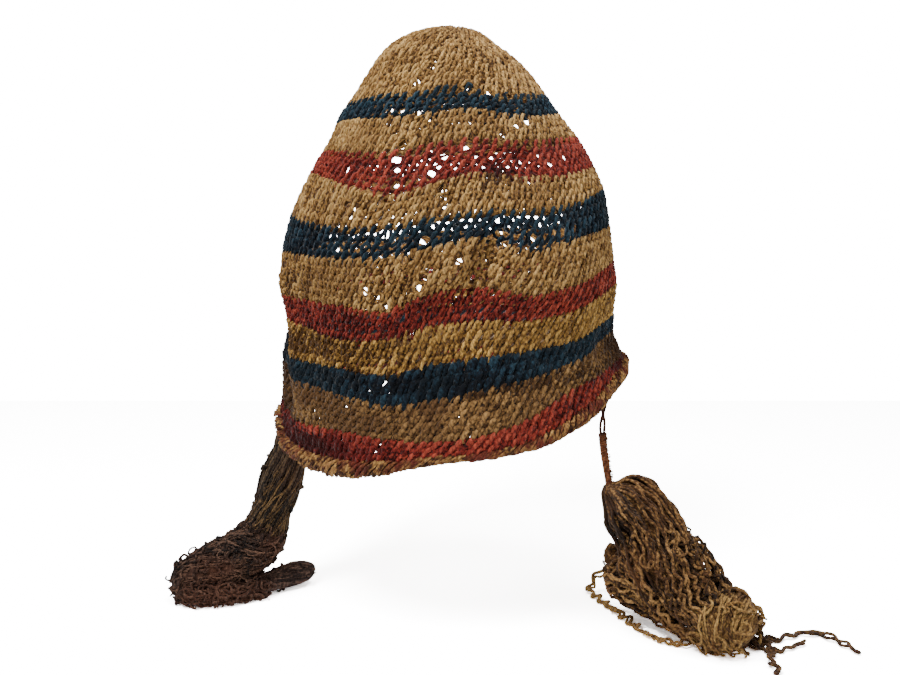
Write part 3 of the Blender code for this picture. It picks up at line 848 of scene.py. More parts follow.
FELT_FINISH = WoolFinish("felted_roll_wool", dark=(.006, .003, .0024), base=(.038, .019, .012),
                         light=(.120, .064, .041), fleck=(.095, .034, .018))
TUFT_FINISH = WoolFinish("tuft_wool", dark=(.014, .0075, .006), base=(.062, .035, .025),
                         light=(.150, .088, .064), fleck=(.080, .036, .024))
CRINKLED_FINISH = WoolFinish("right_tassel_wool", dark=(.011, .0048, .0020), base=(.098, .047, .016),
                             light=(.34, .185, .065), fleck=(.125, .050, .016))
KNOB_FINISH = WoolFinish("golden_end_wool", dark=(.050, .021, .006), base=(.215, .115, .034),
                         light=(.40, .24, .080), fleck=(.15, .066, .020))
STRAY_FINISH = WoolFinish("stray_wool", dark=(.018, .008, .004), base=(.075, .036, .014),
                          light=(.17, .090, .034), fleck=(.055, .020, .009))
CORD_FINISH = WoolFinish("tie_cord_wool", dark=(.022, .006, .003), base=(.155, .046, .018),
                         light=(.32, .115, .045), fleck=(.060, .018, .008))


@dataclass(frozen=True)
class Station:
    """A place on a bundle's track: shares of its reach, width and drop, and its half sizes."""

    out: float
    forward: float
    down: float
    across: float
    through: float


LEFT_NECK = (
    Station(0.00, 0.00, 0.00, .10, .12),
    Station(0.00, 0.04, 0.20, .25, .27),
    Station(-.02, 0.25, 0.35, .35, .37),
    Station(0.03, 0.50, 0.52, .42, .48),
    Station(0.12, 0.58, 0.73, .42, .46),
    Station(0.19, 0.54, 0.88, .42, .43),
    Station(0.24, 0.50, 1.00, .47, .49),
)
LEFT_ROLL = (
    Station(0.00, 0.00, 0.00, .40, .42),
    Station(0.06, 0.04, 0.18, .48, .47),
    Station(0.22, 0.14, 0.34, .52, .48),
    Station(0.44, 0.22, 0.48, .52, .47),
    Station(0.66, 0.30, 0.59, .50, .43),
    Station(0.84, 0.40, 0.70, .42, .38),
    Station(0.96, 0.50, 0.77, .28, .28),
    Station(1.03, 0.56, 0.80, .12, .12),
)
LEFT_FOLD = (
    Station(0.98, 0.46, 0.84, .22, .24),
    Station(0.80, 0.64, 0.86, .44, .36),
    Station(0.54, 0.62, 0.86, .50, .40),
    Station(0.26, 0.42, 0.85, .50, .42),
    Station(0.00, 0.14, 0.83, .50, .46),
)
LEFT_TUFT = (
    Station(0.00, 0.00, 0.00, .34, .30),
    Station(-.42, -.48, -.06, .40, .38),
    Station(-.72, -.84, -.06, .40, .38),
    Station(-.92, -1.06, -.05, .28, .26),
    Station(-1.0, -1.16, -.04, .16, .16),
)
RIGHT_TASSEL = (
    Station(0.00, 0.00, 0.00, .05, .05),
    Station(0.02, 0.01, 0.03, .17, .16),
    Station(0.14, 0.05, 0.10, .42, .36),
    Station(0.32, 0.14, 0.28, .42, .42),
    Station(0.43, 0.27, 0.48, .45, .47),
    Station(0.64, 0.43, 0.70, .50, .46),
    Station(0.83, 0.64, 0.81, .47, .34),
)
RIGHT_UNDER = (
    Station(0.06, -.36, 0.50, .12, .12),
    Station(0.12, -.38, 0.66, .24, .24),
    Station(0.24, -.24, 0.80, .29, .22),
    Station(0.44, 0.12, 0.85, .27, .18),
    Station(0.62, 0.46, 0.86, .20, .15),
)
RIGHT_CROSS = (
    Station(0.05, -.20, 0.71, .16, .12),
    Station(0.10, -.15, 0.70, .32, .22),
    Station(0.27, 0.02, 0.69, .42, .29),
    Station(0.46, 0.17, 0.69, .46, .31),
    Station(0.66, 0.38, 0.71, .42, .29),
    Station(0.88, 0.60, 0.74, .34, .24),
)
RIGHT_END = (
    Station(0.00, 0.00, 0.00, .47, .34),
    Station(0.14, 0.20, 0.14, .42, .32),
    Station(0.24, 0.36, 0.32, .22, .18),
)

# The tie cord's route: outwards, forwards and down in shares of its drop, and its thickness
CORD_ROUTE = (
    (0.000, 0.000, 0.00, 0.55),
    (-.010, 0.012, 0.18, 0.60),
    (-.014, 0.024, 0.36, 0.80),
    (0.000, 0.046, 0.54, 1.00),
    (0.026, 0.065, 0.73, 1.00),
    (0.054, 0.080, 0.90, 0.95),
    (0.070, 0.088, 1.00, 0.85),
)

# Loose yarns of the right tassel: outwards, forwards and up, in shares of the tassel's reach
STRAYS = {
    "near": ((-.05, 0.00, .22), (.17, -.02, .10), (.23, .22, .045), (.17, .40, .03), (.16, .62, .027)),
    "far": ((-.05, .05, .13), (.20, .02, .05), (.40, -.02, .04), (.57, -.10, .03), (.74, -.08, .03),
            (.87, .10, .03), (.95, .25, .028)),
    "outline": ((-.26, -.40, .80), (-.10, -.20, .58), (.02, -.06, .34), (.10, .06, .12), (.13, .20, .04)),
    "middle": ((-.02, .12, .13), (.12, .13, .04), (.28, .20, .03), (.44, .14, .03), (.55, .08, .028)),
}
SIDE_LOOP = ((.25, -.20, .42), (.02, -.62, .20), (-.07, -.60, .03), (.02, -.36, .03),
             (.20, .10, .03), (.33, .42, .03), (.50, .54, .03), (.70, .52, .06))


@dataclass
class Track:
    """The middle line of a bundle of yarn, with its section's half sizes and directions."""

    centres: np.ndarray
    across: np.ndarray
    through: np.ndarray
    side: np.ndarray
    other: np.ndarray
    share: np.ndarray

    @classmethod
    def lay(cls, start: np.ndarray, rows: tuple[Station, ...], outward: int, reach: float,
            width: float, drop: float, level: tuple[float, float, float]) -> Track:
        """Lays a track through a short table of stations.

        Args:
            start: Where the bundle starts.
            rows: Its stations.
            outward: 1 for a bundle on the right, -1 on the left.
            reach: Length that the outward shares stand for.
            width: Length that the forward shares and half sizes stand for.
            drop: Length that the downward shares stand for.
            level: Direction that the section's across side keeps nearest to.

        Returns:
            The track.
        """
        step, fewest = 0.002, 8
        placed = np.array([(start[0] + outward * row.out * reach, start[1] - row.forward * width,
                            start[2] - row.down * drop) for row in rows])
        knots = run_along(placed)
        at = np.linspace(0, knots[-1], max(int(knots[-1] / step), fewest))
        centres = curved(knots, placed, at)
        across = smooth(knots, np.array([row.across for row in rows]) * width, at)
        through = smooth(knots, np.array([row.through for row in rows]) * width, at)
        along = unit(np.gradient(centres, axis=0))
        level = np.array(level, float)
        side = unit(level - (along @ level)[:, None] * along)
        return cls(centres, across, through, side, np.cross(along, side), at / knots[-1])

    def at(self, share: np.ndarray, angle: np.ndarray, out: np.ndarray | float) -> np.ndarray:
        """Points of the bundle.

        Args:
            share: Places along the track, from 0 to 1.
            angle: Places round the section, in radians.
            out: Places out from the middle, where 1 is the bundle's skin.

        Returns:
            The points.
        """
        side, other = self.sides(share)
        across = np.interp(share, self.share, self.across)
        through = np.interp(share, self.share, self.through)
        wide = (across * np.cos(angle) * out)[..., None] * side
        deep = (through * np.sin(angle) * out)[..., None] * other
        return between(self.share, self.centres, share) + wide + deep

    def sides(self, share: np.ndarray) -> tuple[np.ndarray, np.ndarray]:
        """The section's across and through directions at places along the track."""
        return between(self.share, self.side, share), between(self.share, self.other, share)

    def lengthen(self, back: float) -> None:
        """Carries the track back past its start, into what it comes out of.

        Args:
            back: How far.
        """
        along = unit(self.centres[0] - self.centres[1])
        self.centres = np.concatenate(((self.centres[0] + back * along)[None], self.centres))
        self.across = np.concatenate((self.across[:1], self.across))
        self.through = np.concatenate((self.through[:1], self.through))
        self.side = np.concatenate((self.side[:1], self.side))
        self.other = np.concatenate((self.other[:1], self.other))
        self.share = run_along(self.centres) / self.length()

    def length(self) -> float:
        """The track's length."""
        return float(spans(self.centres).sum())


@dataclass(frozen=True)
class Strands:
    """How the yarns of a bundle lie: lengths in metres, places as shares of the track."""

    count: int
    radius: float
    twist: float = 0.6
    inner: float = 0.55
    outer: float = 1.0
    wave: float = 0.0012
    wave_length: float = 0.009
    first: float = 0.0
    first_spread: float = 0.0
    last: float = 1.0
    last_spread: float = 0.0
    step: float = 0.0024
    tone: float = 0.5


def on_table(points: np.ndarray, radius: float) -> np.ndarray:
    """Points lifted so that a yarn of that radius stays above the table."""
    points[:, 2] = np.maximum(points[:, 2], radius * 1.02 - TABLE_DROP)
    return points


def lay_strands(routes: YarnRoutes, track: Track, strands: Strands, seed: int) -> None:
    """Lays crinkled yarns along a bundle.

    Args:
        routes: The piece's routes.
        track: The bundle's track.
        strands: How its yarns lie.
        seed: Chooses their places.
    """
    rng = np.random.default_rng(seed)
    length = track.length()
    for _ in range(strands.count):
        first = strands.first + strands.first_spread * rng.uniform(0, 1)
        last = strands.last - strands.last_spread * rng.uniform(0, 1)
        count = max(int((last - first) * length / strands.step), 6)
        share = np.linspace(first, last, count)
        angle = rng.uniform(0, 2 * math.pi) + strands.twist * share * rng.uniform(0.6, 1.4)
        angle = angle + 0.25 * wavering(rng, share * NEARLY, 1.0 + length / 0.03)
        out = rng.uniform(strands.inner, strands.outer) * (1 + 0.08 * wavering(rng, share * NEARLY, 5))
        points = track.at(share, angle, np.minimum(out, 1.04))
        run = share * length * 2 * math.pi / (strands.wave_length * rng.uniform(0.75, 1.3))
        swell = strands.wave * rng.uniform(0.4, 1.3) * (1 + 0.4 * wavering(rng, share * NEARLY, 6))
        phase = rng.uniform(0, 2 * math.pi, 2)
        side, other = track.sides(share)
        points += (swell * np.sin(run + phase[0]))[:, None] * side
        points += (swell * np.cos(run * 0.83 + phase[1]))[:, None] * other
        shade = strands.tone + rng.uniform(-0.5, 0.5) + 0.2 * wavering(rng, share * NEARLY, 6)
        routes.add(on_table(points, strands.radius), shade, thick=rng.uniform(0.8, 1.15))


def lay_curls(routes: YarnRoutes, track: Track, count: int, size: float, seed: int,
              around: tuple[float, float] = (0.0, ROUND), first: float = 0.05,
              fullness: float = 1.0) -> None:
    """Lays curled ends of yarn on a bundle's skin, each a loose coil of one to two turns.

    Args:
        routes: The piece's routes.
        track: The bundle's track.
        count: How many.
        size: Radius of a common curl.
        seed: Chooses their places.
        around: Range of places round the section, in radians.
        first: Place along the track where they start.
        fullness: Thickness as a share of the yarn's.
    """
    rng = np.random.default_rng(seed)
    for _ in range(count):
        share, angle = np.array([rng.uniform(first, 0.97)]), np.array([rng.uniform(*around)])
        skin = track.at(share, angle, 1.0)[0]
        out = unit(skin - track.at(share, angle, 0.9)[0])
        one = unit(np.cross(out, rng.normal(size=3)))
        two = unit(np.cross(out, one) + out * rng.uniform(-0.9, 0.9))
        turns, radius = rng.uniform(0.45, 1.35), size * rng.uniform(0.5, 1.15)
        theta = np.linspace(0, 2 * math.pi * turns, int(10 * turns) + 4)
        swell = radius * (1 + 0.25 * np.sin(theta * 0.5 + rng.uniform(0, 6)))
        points = skin + (swell * np.cos(theta))[:, None] * one + (swell * np.sin(theta))[:, None] * two
        drift = rng.normal(size=3)
        drift = unit(drift - 0.8 * (drift @ out) * out)
        points += (theta / theta[-1] - 0.5)[:, None] * drift * size * 1.8
        routes.add(on_table(points, 0.0007), rng.uniform(0, 0.85), thick=fullness * rng.uniform(0.8, 1.1))


def kinked(line: np.ndarray, wave: float, wave_length: float, seed: int) -> np.ndarray:
    """A route with the kinks of unravelled yarn.

    Args:
        line: The route's points, evenly spaced.
        wave: Height of the kinks.
        wave_length: Length of a kink.
        seed: Chooses the kinks.

    Returns:
        The route, with its ends where they were.
    """
    rng = np.random.default_rng(seed)
    run = run_along(line)
    along = unit(np.gradient(line, axis=0))
    side = unit(np.cross(along, (0.0, 0.0, 1.0)) + 1e-9)
    up = np.cross(side, along)
    place = run / run[-1] * NEARLY
    phase = run * 2 * math.pi / wave_length + 4.5 * wavering(rng, place, 1 + run[-1] / 0.016)
    swell = wave * (1 + 0.9 * wavering(rng, place, 1 + run[-1] / 0.007)) * np.sin(math.pi * place) ** 0.25
    sideways = (swell * np.sin(phase))[:, None] * side
    return line + sideways + (0.5 * swell * np.cos(phase * 0.77))[:, None] * up


def loose_route(points: list[np.ndarray], step: float, radius: float) -> np.ndarray:
    """A smooth loose yarn through a few points, above the table.

    Args:
        points: The points.
        step: Length between two points of the route.
        radius: The yarn's radius.

    Returns:
        The route.
    """
    placed = np.array(points)
    knots = run_along(placed)
    at = np.linspace(0, knots[-1], max(int(knots[-1] / step), 4))
    return on_table(curved(knots, placed, at), radius)


def core(name: str, tracks: list[tuple[Track, float]], material: bpy.types.Material,
         lumps: float, seed: int, slot: str) -> bpy.types.Object:
    """The felted inside of a bundle, a lumpy closed body on each track.

    Args:
        name: The piece's name.
        tracks: Tracks, each with its body's size as a share of the bundle's.
        material: The body's finish.
        lumps: Height of its lumps.
        seed: Chooses the lumps.
        slot: The record's material slot.

    Returns:
        The piece, dressed.
    """
    sides, step, rounding, clearance = 28, 0.0022, 0.005, 0.0002
    vertices, faces = [], []
    rng = np.random.default_rng(seed)
    for track, size in tracks:
        start = len(vertices)
        shares = np.linspace(0, 1, max(int(track.length() / step), 8))
        ring = np.arange(sides) / sides * 2 * math.pi
        for share in shares:
            close = min(share, 1 - share) * track.length() / rounding
            round_end = math.sqrt(1 - (1 - min(close, 1)) ** 2)
            wander = wavering(rng, ring, 2 * math.pi) + wavering(rng, ring * 3 % ROUND, 2 * math.pi)
            points = track.at(np.full(sides, share), ring, size * round_end)
            centre = points.mean(axis=0)
            points += unit(points - centre) * (lumps * round_end * wander)[:, None]
            vertices.extend(on_table(points, clearance).tolist())
        for k in range(len(shares) - 1):
            for n in range(sides):
                m = (n + 1) % sides
                a, b = start + k * sides, start + (k + 1) * sides
                faces.append((a + n, a + m, b + m, b + n))
        faces.append(tuple(range(start + sides - 1, start - 1, -1)))
        end = start + (len(shares) - 1) * sides
        faces.append(tuple(range(end, end + sides)))
    mesh = bpy.data.meshes.new(name)
    mesh.from_pydata(vertices, [], faces)
    layer = mesh.attributes.new("shade", "FLOAT", "POINT")
    layer.data.foreach_set("value", np.full(len(vertices), 0.4, np.float32))
    mesh.shade_smooth()
    mesh.materials.append(material)
    made = bpy.data.objects.new(name, mesh)
    bpy.context.scene.collection.objects.link(made)
    return dress(made, slot)


@dataclass
class Knitting:
    """The cap's knitted tube: courses of loops, each hooked into the course above it.

    Lengths are in metres. A swing, rise, lean or drift is a share of a stitch or of a course.
    """

    wall: CapWall
    spinner: YarnSpinner
    pitch: float = 0.0054
    most_stitches: int = 104
    least_stitches: int = 7
    samples: int = 8
    samples_behind: int = 7
    behind: float = 0.0005
    swing: float = 0.29
    rise: float = 0.74
    lean: float = 0.42
    uneven_swing: float = 0.16
    uneven_rise: float = 0.14
    side_drift: float = 0.16
    down_drift: float = 0.10
    hook: float = 0.00062
    uneven_hook: float = 0.2
    cross: float = 0.00045
    gap_size: float = 0.0025
    uneven_yarn: float = 0.10
    back_fuller: float = 0.20
    thinner_behind: float = 0.95
    # Painted shade on the loops behind, which sit in the wall's recess
    painted_shade_behind: float = 0.15
    gaps: list[tuple[np.ndarray, np.ndarray, float]] = field(init=False)

    def __post_init__(self) -> None:
        """Finds the open gaps."""
        self.gaps = self.wall.gaps(self.gap_size)

    def stitches(self, course: float) -> int:
        """How many stitches a course has.

        Args:
            course: The course, with a half for its middle.

        Returns:
            The number of stitches.
        """
        turn = np.linspace(0, 360, 73)
        depth = self.wall.course_depth(turn, np.full_like(turn, course))
        length = spans(self.wall.point(turn, depth)).sum()
        return int(np.clip(round(length / self.pitch), self.least_stitches, self.most_stitches))

    def course(self, routes: YarnRoutes, number: int, fullness: float, rng: np.random.Generator,
               behind: bool = False) -> None:
        """Adds one course of loops.

        Args:
            routes: The band's routes.
            number: The course, counted from the crown's top.
            fullness: Thickness of the band's yarn as a share of the usual one.
            rng: Source of the uneven tension.
            behind: Whether these are the loops that close the gaps from behind.
        """
        count = self.stitches(number + 0.5)
        samples = self.samples_behind if behind else self.samples
        s = np.arange(count * samples) / samples
        tau = 2 * math.pi * s
        swing = self.swing * (1 + self.uneven_swing * wavering(rng, s, count))
        rise = self.rise * (1 + self.uneven_rise * wavering(rng, s, count))
        drift = self.side_drift * wavering(rng, s, count)
        # Each course starts at the back, half a stitch on from the one above
        along = s - swing * np.sin(tau) + drift - 0.25 * count + 0.5 * number
        up = rise * np.cos(tau) + self.down_drift * wavering(rng, s, count)
        along += self.lean * up + (0.5 if behind else 0.0)
        turn = along * 360 / count
        depth = self.wall.course_depth(turn, number + 0.5 - up)
        front = self.hook * np.cos(tau) * (1 + self.uneven_hook * wavering(rng, s, count))
        front = front + self.cross * np.sin(tau)
        out = front - self.wall.wall / 2 - (self.behind if behind else 0.0)
        places = self.wall.point(turn, depth) + out[:, None] * self.wall.normal(turn, depth)
        places = self.wall.open_gaps(places, self.gaps)
        shade = 0.5 + 0.30 * wavering(rng, s, count) + 0.15 * wavering(rng, s, count / 6)
        # Painted shade: the fronts of the loops lighter, their deeper parts and the loops behind darker
        shade += 0.30 * front / (self.hook + self.cross) - (self.painted_shade_behind if behind else 0.0)
        # Painted shade: the patches where folds, dents and creases lie in shade
        shade -= self.painted_patch_shade(turn, depth)
        thick = fullness * (1 + self.uneven_yarn * wavering(rng, s, count * 1.5))
        thick = thick * (self.thinner_behind if behind else 1.0)
        thick = thick * (1 + self.back_fuller * np.clip(-2 * np.sin(np.radians(turn)), 0, 1))
        routes.add(places, shade, closed=True, thick=thick)

    def painted_patch_shade(self, turn: np.ndarray, depth: np.ndarray) -> np.ndarray:
        """How much the patches of painted shade darken the yarn, in folds, dents, creases and on shaded
        sides.

        Args:
            turn: Turns in degrees.
            depth: Depths at those turns.

        Returns:
            What to take from the yarn's shade there.
        """
        total = np.zeros_like(depth)
        for shade_patch in SHADE_PATCHES:
            off = (np.mod(turn - shade_patch.turn + 180, 360) - 180) / shade_patch.wide
            total += shade_patch.dark * np.exp(-off**2 - ((depth - shade_patch.depth) / shade_patch.tall) ** 2)
        return total

    def build(self) -> None:
        """Knits every band, each a piece."""
        number = 0
        for index, band in enumerate(BANDS):
            rng = np.random.default_rng(100 + index)
            routes = YarnRoutes()
            for _ in range(band.courses):
                self.course(routes, number, band.fullness, rng)
                if band.close_knit:
                    self.course(routes, number, band.fullness, rng, behind=True)
                number += 1
            self.spinner.spin(f"{band.name}_courses", routes, FINISHES[band.yarn].make(), YARN_RADIUS,
                              "striped_knit", "knitted_cap", sides=4, crinkle=0.0007,
                              crinkle_scale=300.0, seed=index)


@dataclass
class RolledHem:
    """The rolled edge: a rope of yarns twisted round the hem's middle line."""

    wall: CapWall
    spinner: YarnSpinner
    strands: int = 12
    turns: int = 25
    yarn_radius: float = 0.00082
    samples: int = 600
    proud: float = 1.06
    uneven: float = 0.18
    lumpy: float = 0.20
    uneven_twist: float = 0.30
    uneven_yarn: float = 0.22
    inside: float = 0.75

    def build(self) -> None:
        """Twists the hem round a plain yarn that fills it."""
        rng = np.random.default_rng(71)
        routes = YarnRoutes()
        turn = np.arange(self.samples) / self.samples * 360
        centre, radius = self.wall.hem_point(turn), self.wall.hem_radius(turn)
        along = unit(self.wall.hem_point(turn + 0.5) - self.wall.hem_point(turn - 0.5))
        out = unit(np.cross(along, np.array((0, 0, 1.0))))
        up = np.cross(out, along)
        lumps = wavering(rng, turn / 5, 72.0)
        for k in range(self.strands):
            wander = wavering(rng, turn, 360.0)
            angle = 2 * math.pi * (k / self.strands + self.turns * turn / 360)
            angle += self.uneven_twist * wavering(rng, turn / 4, 90.0)
            away = np.maximum(radius - 0.5 * self.yarn_radius, 0.0006)
            away = away * (self.proud + self.uneven * wander + self.lumpy * lumps)
            points = centre + (away * np.cos(angle))[:, None] * out + (away * np.sin(angle))[:, None] * up
            shade = 0.5 + 0.7 * wavering(rng, turn, 360.0)
            thick = (0.55 + 0.55 * radius / self.wall.hem_roll) * (1 + self.uneven_yarn * wander)
            routes.add(points, shade, closed=True, thick=thick)
        routes.add(centre, 0.2, closed=True, thick=radius * self.inside / self.yarn_radius)
        self.spinner.spin("rolled_hem_yarn", routes, HEM_FINISH.make(), self.yarn_radius, "hem_yarn",
                          "rolled_hem", crinkle=0.0012, crinkle_scale=260.0, seed=5)


@dataclass
class LeftTassel:
    """The dark tassel at the left: a hank of yarn, a felted roll folded back, and its blunt end."""

    wall: CapWall
    spinner: YarnSpinner
    tie_turn: float = 358.0
    seat: float = 0.0003
    neck_width: float = 0.024
    neck_drop: float = 0.066
    roll_width: float = 0.028
    roll_reach: float = 0.050
    fold_width: float = 0.016
    tuft_width: float = 0.016
    tuft_reach: float = 0.024
    tuft_overlap: float = 0.007
    roll_overlap: float = 0.004
    neck_yarn: float = 0.00052
    waist_yarn: float = 0.00055
    roll_yarn: float = 0.00050
    fine_yarn: float = 0.00042
    table_hairs: int = 9
    level: tuple[float, float, float] = (0.0, 1.0, 0.0)

    def tracks(self) -> tuple[Track, Track, Track, Track]:
        """Lays the bundles' tracks.

        Returns:
            Tracks of the neck, the roll, the fold under it and the tuft.
        """
        start = self.wall.under_hem(self.tie_turn, self.seat)
        neck = Track.lay(start, LEFT_NECK, -1, self.roll_reach, self.neck_width, self.neck_drop, self.level)
        below = neck.centres[-1]
        drop = below[2] + TABLE_DROP
        roll = Track.lay(below, LEFT_ROLL, -1, self.roll_reach, self.roll_width, drop, self.level)
        roll.lengthen(self.roll_overlap)
        fold = Track.lay(below, LEFT_FOLD, -1, self.roll_reach, self.roll_width, drop, self.level)
        thin = self.fold_width / self.roll_width
        fold.across, fold.through = fold.across * thin, fold.through * thin
        tuft = Track.lay(fold.centres[-1], LEFT_TUFT, -1, self.tuft_reach, self.tuft_width,
                         self.tuft_width, self.level)
        tuft.lengthen(self.tuft_overlap)
        return neck, roll, fold, tuft

    def loops(self, routes: YarnRoutes, track: Track, count: int, size: float, seed: int) -> None:
        """Adds small loops of yarn that stand off a bundle's skin.

        Args:
            routes: The piece's routes.
            track: The bundle's track.
            count: How many.
            size: Height of a common loop.
            seed: Chooses their places.
        """
        rng = np.random.default_rng(seed)
        for _ in range(count):
            share, angle = rng.uniform(0.08, 0.95), rng.uniform(0, 2 * math.pi)
            tall = size * rng.uniform(0.5, 1.1)
            around = np.linspace(-0.4, math.pi + 0.4, 10)
            foot = track.at(np.array([share]), np.array([angle]), 0.95)[0]
            out = unit(foot - track.at(np.array([share]), np.array([angle]), 0.85)[0])
            along = unit(rng.normal(size=3))
            along = unit(along - (along @ out) * out)
            points = foot + np.outer(np.sin(around) + 0.3, out) * tall * 0.6
            points += np.outer(np.cos(around), along) * tall * 0.5
            routes.add(on_table(points, 0.0008), rng.uniform(0, 0.5), thick=rng.uniform(1.1, 1.6))

    def hairs(self, routes: YarnRoutes, fold: Track) -> None:
        """Adds thin hairs that lie on the table beside the roll.

        Args:
            routes: The piece's routes.
            fold: Track of the fold under the roll.
        """
        rng = np.random.default_rng(95)
        for _ in range(self.table_hairs):
            share = np.array([rng.uniform(0.1, 0.9)])
            foot = fold.at(share, np.array([0.0]), 1.0)[0]
            foot[2] = 0.0005 - TABLE_DROP
            ahead = np.array((rng.uniform(-0.6, 1.0), -rng.uniform(0.15, 0.6), 0.0))
            reach = np.linspace(0, rng.uniform(0.012, 0.03), 9)[:, None]
            bend = np.array((0.0, 1.0, 0.0)) * rng.uniform(-8, 8)
            routes.add(on_table(foot + reach * ahead + reach**2 * bend, 0.0003), 0.3, thick=0.35)

    def build(self) -> None:
        """Makes the neck, the roll with its fold, and the tuft."""
        neck, roll, fold, tuft = self.tracks()
        self.build_neck(neck)
        self.build_roll(roll, fold)
        self.build_tuft(tuft)

    def build_neck(self, neck: Track) -> None:
        """Makes the hank, its inside, and the lighter yarns that wind round its waist.

        Args:
            neck: The hank's track.
        """
        dark, routes = DARK_FINISH.make(), YarnRoutes()
        lay_strands(routes, neck, Strands(230, self.neck_yarn, twist=1.3, inner=0.80, wave=0.00035,
                                          wave_length=0.021, step=0.0042), 81)
        self.loops(routes, neck, 22, 0.0034, 82)
        self.spinner.spin("left_neck_yarn", routes, dark, self.neck_yarn, LEFT_SLOT, "left_tassel_neck",
                          crinkle=0.0006, seed=8)
        core("left_neck_core", [(neck, 0.84)], dark, 0.0003, 83, LEFT_SLOT)
        routes = YarnRoutes()
        lay_strands(routes, neck, Strands(64, self.waist_yarn, twist=3.0, inner=0.96, outer=1.03,
                                          wave=0.0005, first=0.38, first_spread=0.45, step=0.0020), 92)
        self.spinner.spin("left_waist_yarn", routes, WAIST_FINISH.make(), self.waist_yarn, LEFT_SLOT,
                          crinkle=0.0006, seed=14)

    def build_roll(self, roll: Track, fold: Track) -> None:
        """Makes the matted yarns of the roll and its fold, and the felt inside them.

        Args:
            roll: The roll's track.
            fold: Track of the fold under it.
        """
        felt, routes = FELT_FINISH.make(), YarnRoutes()
        lay_strands(routes, roll, Strands(200, self.fine_yarn, twist=1.6, inner=0.94, wave=0.0006,
                                          first_spread=0.6, last_spread=0.5), 84)
        lay_strands(routes, roll, Strands(80, self.roll_yarn, twist=6.5, inner=0.97, outer=1.02,
                                          wave=0.0004, first_spread=0.2, last=0.45, last_spread=0.2,
                                          step=0.0016), 94)
        lay_strands(routes, fold, Strands(70, self.roll_yarn, twist=2.6, inner=0.90, wave=0.0010,
                                          first_spread=0.5, last_spread=0.3), 85)
        lay_curls(routes, fold, 170, 0.0036, 87, fullness=1.4)
        lay_curls(routes, roll, 110, 0.0030, 93, first=0.12, fullness=1.2)
        self.loops(routes, roll, 90, 0.0036, 86)
        self.loops(routes, fold, 36, 0.0034, 96)
        self.hairs(routes, fold)
        self.spinner.spin("left_roll_yarn", routes, felt, self.roll_yarn, LEFT_SLOT, "left_tassel_roll",
                          crinkle=0.0010, seed=9)
        core("left_roll_felt", [(roll, 0.96), (fold, 0.93)], felt, 0.0006, 88, LEFT_SLOT)

    def build_tuft(self, tuft: Track) -> None:
        """Makes the blunt end and the felt inside it.

        Args:
            tuft: The end's track.
        """
        felt, routes = TUFT_FINISH.make(), YarnRoutes()
        lay_strands(routes, tuft, Strands(170, self.fine_yarn, twist=0.7, inner=0.92, wave=0.0004,
                                          wave_length=0.014, last_spread=0.1, tone=0.55), 89)
        self.loops(routes, tuft, 16, 0.0026, 90)
        self.spinner.spin("left_tuft_yarn", routes, felt, self.fine_yarn, LEFT_SLOT, "left_tassel_tuft",
                          crinkle=0.0006, seed=10)
        core("left_tuft_felt", [(tuft, 0.95)], felt, 0.0004, 91, LEFT_SLOT)


